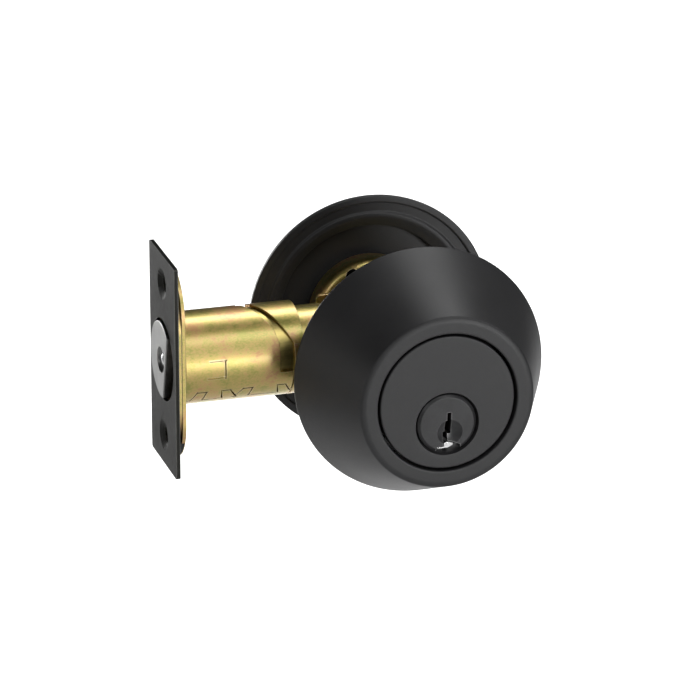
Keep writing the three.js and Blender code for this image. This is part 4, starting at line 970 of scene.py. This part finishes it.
keyway = []
for steps in KEYWAY:
    (x0, z0), (x1, z1) = on_plug(steps)
    keyway.append(cutter((x0, plug_y - MM, z0), (x1, KEYWAY_END, z1)))
pierced(
    plug, turned("tool", "y", ball, DIMPLE, 96), *keyway,
    sheet_between("tool", "y", on_plug(RUN_OUT), plug_y - MM, plug_y + RUN_OUT_DEPTH),
    *[drill("z", PIN_R + PIN_CLEARANCE, chamber_bottom, plug_axis.z + 10 * MM, at, 32) for at in pin_places],
    tailpiece_slot(tailpiece_low.y - 0.3 * MM, 0),
)
fitted(smoothed(plug), "key_plug", satin_plug)
guide = sheet_between(
    "keyway_guide", "y", on_plug(GUIDE_OUTLINE), plug_y + GUIDE_DEPTH[0], plug_y + GUIDE_DEPTH[1])
guide.data.materials.append(bright_steel)
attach(smoothed(edges_broken(guide, 0.08 * MM)), body_of["key_plug"])

for i, at in enumerate(pin_places, 1):
    low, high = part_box(f"key_pin_{i}")
    key_pin = turned(f"key_pin_{i}_turned", "z", [
        (0, low.z, 0.2 * MM), (0.5 * MM, low.z, 0.2 * MM), (PIN_R, low.z + MM, 0.2 * MM),
        (PIN_R, high.z, 0.15 * MM), (0, high.z)], at, 48)
    fitted(smoothed(key_pin), f"key_pin_{i}", brass)
    low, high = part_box(f"driver_pin_{i}")
    driver = rod(f"driver_pin_{i}_turned", "z", PIN_R, low.z, high.z, at, 0.15 * MM, 48)
    fitted(smoothed(driver), f"driver_pin_{i}", bright_steel)


def coil_tree(name, path_steps, wire_steps, finish, rotation=(0, 0, 0)):
    """A geometry tree that sweeps a wire along a helix and copies it to each place."""
    tree, group_in, group_out = geometry_tree(name, [
        ("Coil radius", MM), ("Wire radius", 0.2 * MM), ("Height", 3 * MM), ("Turns", 5)])
    size = group_in.outputs
    helix = added(tree, "GeometryNodeCurveSpiral", {
        "Resolution": path_steps, "Start Radius": size["Coil radius"], "End Radius": size["Coil radius"],
        "Height": size["Height"], "Rotations": size["Turns"]})
    wire = added(tree, "GeometryNodeCurvePrimitiveCircle", {
        "Resolution": wire_steps, "Radius": size["Wire radius"]})
    swept = added(tree, "GeometryNodeCurveToMesh", {
        "Curve": helix.outputs["Curve"], "Profile Curve": wire.outputs["Curve"], "Fill Caps": True})
    placed_copies(tree, group_in, group_out, swept.outputs["Mesh"], finish, rotation)
    return tree


SPRING_INSET = 0.2 * MM
SPRING_TURNS = 5.0
spring_low, spring_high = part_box("pin_spring_1")
spring_places = [Vector((at.x, at.y, spring_low.z + SPRING_INSET)) for at in pin_places]
springs = grown("pin_springs", coil_tree("Springs", 32, 16, bright_steel), spring_places, {
    "Coil radius": PIN_R - 0.25 * MM, "Wire radius": 0.2 * MM, "Turns": SPRING_TURNS,
    "Height": spring_high.z - spring_low.z - 2 * SPRING_INSET})
fitted(smoothed(springs, 60), [f"pin_spring_{i}" for i in range(1, 6)], bright_steel)


def ring_clip(name, node, bore, gap):
    """A flat open ring clip round the plug's axis, with its gap at the bottom."""
    low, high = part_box(node)
    outer = (high.x - low.x) / 2
    clip = tube(name, "y", bore, outer, low.y, high.y, plug_axis, edge=0.12 * MM, sections=96)
    pierced(clip, cutter((-gap, low.y - MM, plug_axis.z - outer - MM), (gap, high.y + MM, plug_axis.z)))
    fitted(smoothed(clip), node, bright_steel)


ring_clip("plug_clip_stamping", "plug_retainer_clip", NECK_R + CLOSE_FIT, 2.2 * MM)
tailpiece = edges_broken(cutter(tailpiece_low, tailpiece_high), 0.25 * MM)
tailpiece.name = "tailpiece_blade"
fitted(smoothed(tailpiece), "tailpiece", brushed_steel)

# ---- Mounting plate and interior rose -----------------------------------------------------------
# The rose is a pressed black cup with a rolled rim and stepped inside; the yellow-zinc mounting plate stands
# in it, with a round boss into the cross bore and two ears for the screws.
plate_low, plate_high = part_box("mounting_plate")
rose_low, rose_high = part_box("interior_rose")
BOSS_R = 16 * MM
BOSS_WALL = 1.2 * MM
EAR_THICKNESS = 1.2 * MM
EAR_HALF = 4.5 * MM
SPINDLE_BORE_R = 4.4 * MM
boss_y = plate_low.y
BOSS_SHOULDER = 2.4 * MM
SIDE_HOLE = Vector((-5.2 * MM, 0, 11.8 * MM))
SIDE_HOLE_R = 2.2 * MM
THROUGH = 60 * MM  # from the lock's middle to beyond the rose
mounting_plate = turned("mounting_stamping", "y", [
    (0, boss_y), (BOSS_R, boss_y, BOSS_SHOULDER), (BOSS_R, plate_high.y, 0.2 * MM),
    (BOSS_R - BOSS_WALL, plate_high.y, 0.2 * MM), (BOSS_R - BOSS_WALL, boss_y + BOSS_WALL, 0.5 * MM),
    (0, boss_y + BOSS_WALL)], lock_axis)
ears = []
for side in (-1, 1):
    reach = plate_high.x if side > 0 else -plate_low.x
    ear_outline = rectangle(side * (reach + BOSS_R - MM) / 2, plug_axis.z, reach - BOSS_R + MM, 2 * EAR_HALF,
                            2.5 * MM)
    ear = sheet_between("ear", "y", ear_outline, plate_high.y - EAR_THICKNESS, plate_high.y)
    ears.append(edges_broken(ear, 0.15 * MM))
welded(mounting_plate, *ears)


def fixing_holes():
    """Tools for the spindle's hole and the two mounting screws' holes."""
    screw_holes = [drill("y", MOUNT_SCREW_R + 0.3 * MM, 0, THROUGH, at, 48) for at in screw_axes]
    return [drill("y", SPINDLE_BORE_R, 0, THROUGH, plug_axis, 96), *screw_holes]


pierced(mounting_plate, *fixing_holes(), drill("y", SIDE_HOLE_R, 0, boss_y + 4 * MM, SIDE_HOLE, 48))
fitted(smoothed(mounting_plate), "mounting_plate", yellow_zinc)

rim_y, rose_face_y = rose_low.y, rose_high.y
ROSE_R = rose_high.x
ROSE_FLOOR = 1.6 * MM
rose = turned("rose_pressing", "y", [
    (0, rose_face_y),
    (ROSE_R - 8.6 * MM, rose_face_y, 0.8 * MM),
    (ROSE_R - 6.6 * MM, rose_face_y - 0.9 * MM, 0.8 * MM),
    (ROSE_R - 0.5 * MM, rim_y + 2.6 * MM, 1.2 * MM),
    (ROSE_R, rim_y, 0.35 * MM),
    (ROSE_R - 1.9 * MM, rim_y, 0.3 * MM),
    (ROSE_R - 2.15 * MM, rim_y + 0.75 * MM, 0.15 * MM),
    (ROSE_R - 4.6 * MM, rim_y + 0.85 * MM, 0.4 * MM),
    (ROSE_R - 5.0 * MM, rim_y + 0.35 * MM, 0.35 * MM),
    (ROSE_R - 6.1 * MM, rim_y + 0.35 * MM, 0.5 * MM),
    (ROSE_R - 9.0 * MM, rim_y + 2.3 * MM, 0.3 * MM),
    (ROSE_R - 9.3 * MM, rose_face_y - ROSE_FLOOR, 0.5 * MM),
    (0, rose_face_y - ROSE_FLOOR),
], lock_axis, 256)
pierced(rose, *fixing_holes())
fitted(smoothed(rose, 50), "interior_rose", matte_black)

# ---- Mounting screws ----------------------------------------------------------------------------
# Two black machine screws with round heads and a cross recess, from the rose through the door's bore into the
# posts. The thread's ridge is a helix swept with a three-sided section.
THREAD_LENGTH = 34 * MM
THREAD_PITCH = 0.8 * MM
THREAD_CORE_R = MOUNT_SCREW_R - 0.2 * MM
RIDGE = 0.25 * MM
HEAD_R = 3.8 * MM
HEAD_HEIGHT = 2 * MM
RECESS = (2.1 * MM, 0.38 * MM)  # half the length and half the width of each slot of the cross
RECESS_DEPTH = 1.1 * MM
thread_tree = coil_tree("Threads", 24, 3, matte_black, ALONG_Y)
for i, at in enumerate(screw_axes, 1):
    low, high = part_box(f"mounting_screw_{i}")
    head_y = high.y - HEAD_HEIGHT
    screw = turned(f"mounting_screw_{i}_turned", "y", [
        (0, low.y), (MOUNT_SCREW_R - 0.5 * MM, low.y), (THREAD_CORE_R, low.y + MM),
        (THREAD_CORE_R, low.y + THREAD_LENGTH), (MOUNT_SCREW_R, low.y + THREAD_LENGTH + 0.3 * MM),
        (MOUNT_SCREW_R, head_y), (HEAD_R, head_y, 0.2 * MM), (HEAD_R - 0.1 * MM, head_y + 0.9 * MM, 0.5 * MM),
        (HEAD_R - 1.6 * MM, high.y - 0.15 * MM, 0.8 * MM), (0, high.y)], at, 96)
    pierced(screw, *[
        cutter((at.x - u, high.y - RECESS_DEPTH, at.z - v), (at.x + u, high.y + MM, at.z + v))
        for u, v in (RECESS, RECESS[::-1])])
    thread = grown(f"screw_{i}_thread", thread_tree, [Vector((at.x, low.y + THREAD_LENGTH, at.z))], {
        "Coil radius": THREAD_CORE_R - 0.02 * MM, "Wire radius": RIDGE, "Height": THREAD_LENGTH - MM,
        "Turns": (THREAD_LENGTH - MM) / THREAD_PITCH})
    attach(smoothed(thread, 20), body_of[f"mounting_screw_{i}"])
    fitted(smoothed(screw), f"mounting_screw_{i}", matte_black)

# ---- Thumbturn, spindle, washer and clip --------------------------------------------------------
# Cast black thumbturn: a domed base with a rounded blade, pressed on a slotted steel spindle that takes the
# tailpiece. A nylon washer lets it turn on the rose and a clip holds it from inside.
turn_low, turn_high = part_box("thumbturn")
spindle_low, spindle_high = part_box("thumbturn_spindle")
TURN_BASE_R = (turn_high.x - turn_low.x) / 2
BLADE_HALF = 3.2 * MM
SPINDLE_R = 4.3 * MM
turn_y = turn_low.y
turn = turned("thumbturn_casting", "y", [
    (0, turn_y), (TURN_BASE_R, turn_y, 0.3 * MM), (TURN_BASE_R, turn_y + 1.4 * MM, 0.9 * MM),
    (TURN_BASE_R - 2.2 * MM, turn_y + 4.2 * MM, 1.5 * MM), (3.5 * MM, turn_y + 8.6 * MM, 2 * MM),
    (0, turn_y + 9.5 * MM)], plug_axis)
BLADE_CORNER = 5 * MM
BLADE_ROOT = (turn_y + 2.5 * MM, 5.5 * MM)  # inside the dome
blade_half_span = (turn_high.z - turn_low.z) / 2
corner_y, corner_z = turn_high.y - BLADE_CORNER, blade_half_span - BLADE_CORNER
half_blade = []
for i in range(13):
    t = i / 12
    half_blade.append((
        BLADE_ROOT[0] * (1 - t) ** 2 + (turn_y + 5 * MM) * 2 * t * (1 - t) + corner_y * t ** 2,
        BLADE_ROOT[1] * (1 - t) ** 2 + blade_half_span * (1 - (1 - t) ** 2)))
for i in range(1, 13):
    angle = math.pi / 2 * (1 - i / 12)
    half_blade.append((corner_y + BLADE_CORNER * math.cos(angle), corner_z + BLADE_CORNER * math.sin(angle)))
blade_outline = [(y, plug_axis.z + z) for y, z in half_blade]
blade_outline += [(y, plug_axis.z - z) for y, z in half_blade[::-1]]
blade = sheet_between("blade", "x", blade_outline, -BLADE_HALF, BLADE_HALF)
edges_broken(blade, 1.3 * MM, 5, 50)
welded(turn, blade)
pierced(turn, drill("y", SPINDLE_R + CLOSE_FIT, turn_y - MM, spindle_high.y + 0.3 * MM, plug_axis, 96))
fitted(smoothed(turn, 45), "thumbturn", matte_black)

spindle = rod("spindle_turned", "y", SPINDLE_R, spindle_low.y, spindle_high.y, plug_axis, 0.3 * MM, 96)
pierced(spindle, tailpiece_slot(spindle_low.y - MM, tailpiece_high.y + MM))
fitted(smoothed(spindle), "thumbturn_spindle", brushed_steel)
washer_low, washer_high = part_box("spindle_washer")
washer = tube("washer_stamping", "y", SPINDLE_BORE_R, washer_high.x, washer_low.y, washer_high.y, plug_axis)
fitted(smoothed(washer), "spindle_washer", black_nylon)
ring_clip("spindle_clip_stamping", "spindle_clip", SPINDLE_R + CLOSE_FIT, 2 * MM)

# ---- Floor, light and camera --------------------------------------------------------------------
# Plain white floor well below the lock, which a door would hold up. Large soft lamps stand round it, and one
# behind it washes the floor; the camera has a long lens and looks a little down.
FLOOR_Z = -0.25
FLOOR_HALF = 6
floor_corners = [(x * FLOOR_HALF, y * FLOOR_HALF, FLOOR_Z) for x, y in ((-1, -1), (1, -1), (1, 1), (-1, 1))]
floor = raw_piece("floor", floor_corners, [(0, 1, 2, 3)])
white = bpy.data.materials.new("White floor")
white.use_nodes = True
floor_shader = white.node_tree.nodes["Principled BSDF"].inputs
floor_shader["Base Color"].default_value = (0.9, 0.9, 0.9, 1)
floor_shader["Roughness"].default_value = 0.9
floor.data.materials.append(white)
floor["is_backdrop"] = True

world = bpy.data.worlds.new("Studio")
world.use_nodes = True
sky = world.node_tree.nodes["Background"].inputs
sky["Color"].default_value = (1, 1, 1, 1)
sky["Strength"].default_value = 0.05
bpy.context.scene.world = world
bpy.context.scene.view_settings.view_transform = "Standard"
AZIMUTH, ELEVATION = math.radians(-16.56), math.radians(20.37)
DISTANCE = 1.25
LENS = 246.96
AIM = (11.34 * MM, 3.73 * MM)  # how far left of and below the latch's axis the camera looks


def softbox(name, place, target, size, radiance, turn=0.0):
    """A soft lamp of a given brightness, turned about its own axis."""
    lamp = bpy.data.lights.new(name, "AREA")
    lamp.shape = "RECTANGLE"
    lamp.size, lamp.size_y = size
    lamp.energy = radiance * math.pi * size[0] * size[1]
    holder = bpy.data.objects.new(name, lamp)
    bpy.context.scene.collection.objects.link(holder)
    holder.location = place
    holder.rotation_euler = (Vector(target) - Vector(place)).to_track_quat("-Z", "Y").to_euler()
    holder.rotation_euler.rotate_axis("Z", turn)


softbox("rear_strip", (0.27, 0.44, 0.84), (0, 0, 0), (0.5, 0.28), 6.5)
softbox("front_strip", (0.27, -0.5, 0.82), (0, 0, 0), (0.5, 0.34), 3.1)
softbox("front_panel", (0.25, -1.25, 0.62), (0, 0, 0), (0.6, 0.9), 1.2)
softbox("low_front_panel", (0.5, -1.2, -0.05), (0, 0, 0), (0.4, 0.3), 13.0)
softbox("right_panel", (0.9, -0.3, 0.7), (0, 0, 0), (0.4, 0.4), 2.5)
softbox("left_panel", (-1.1, 0.1, 0.1), (0, 0, 0), (0.4, 0.4), 1.8)
softbox("left_front_panel", (-0.7, -0.9, 0.5), (0, 0, 0), (0.4, 0.4), 2.2)
softbox("back_left_panel", (-0.35, 1.0, -0.05), (-0.06, 0, 0), (0.35, 0.35), 8.0)
softbox("floor_wash", (0.23, 0.76, -0.14), (0.23, 0.76, -1), (0.62, 1.2), 1.65, AZIMUTH)

across = Vector((math.cos(AZIMUTH), math.sin(AZIMUTH), 0))
back = Vector((math.sin(AZIMUTH) * math.cos(ELEVATION), -math.cos(AZIMUTH) * math.cos(ELEVATION),
               math.sin(ELEVATION)))
up = back.cross(across)
camera = bpy.data.objects.new("camera", bpy.data.cameras.new("camera"))
bpy.context.scene.collection.objects.link(camera)
camera.data.lens = LENS
camera.data.sensor_width = 36
camera.data.clip_start = 0.01
aim = latch_axis - across * AIM[0] - up * AIM[1]
camera.location = aim + back * DISTANCE
camera.rotation_euler = (-back).to_track_quat("-Z", "Y").to_euler()
bpy.context.scene.camera = camera

low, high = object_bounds()
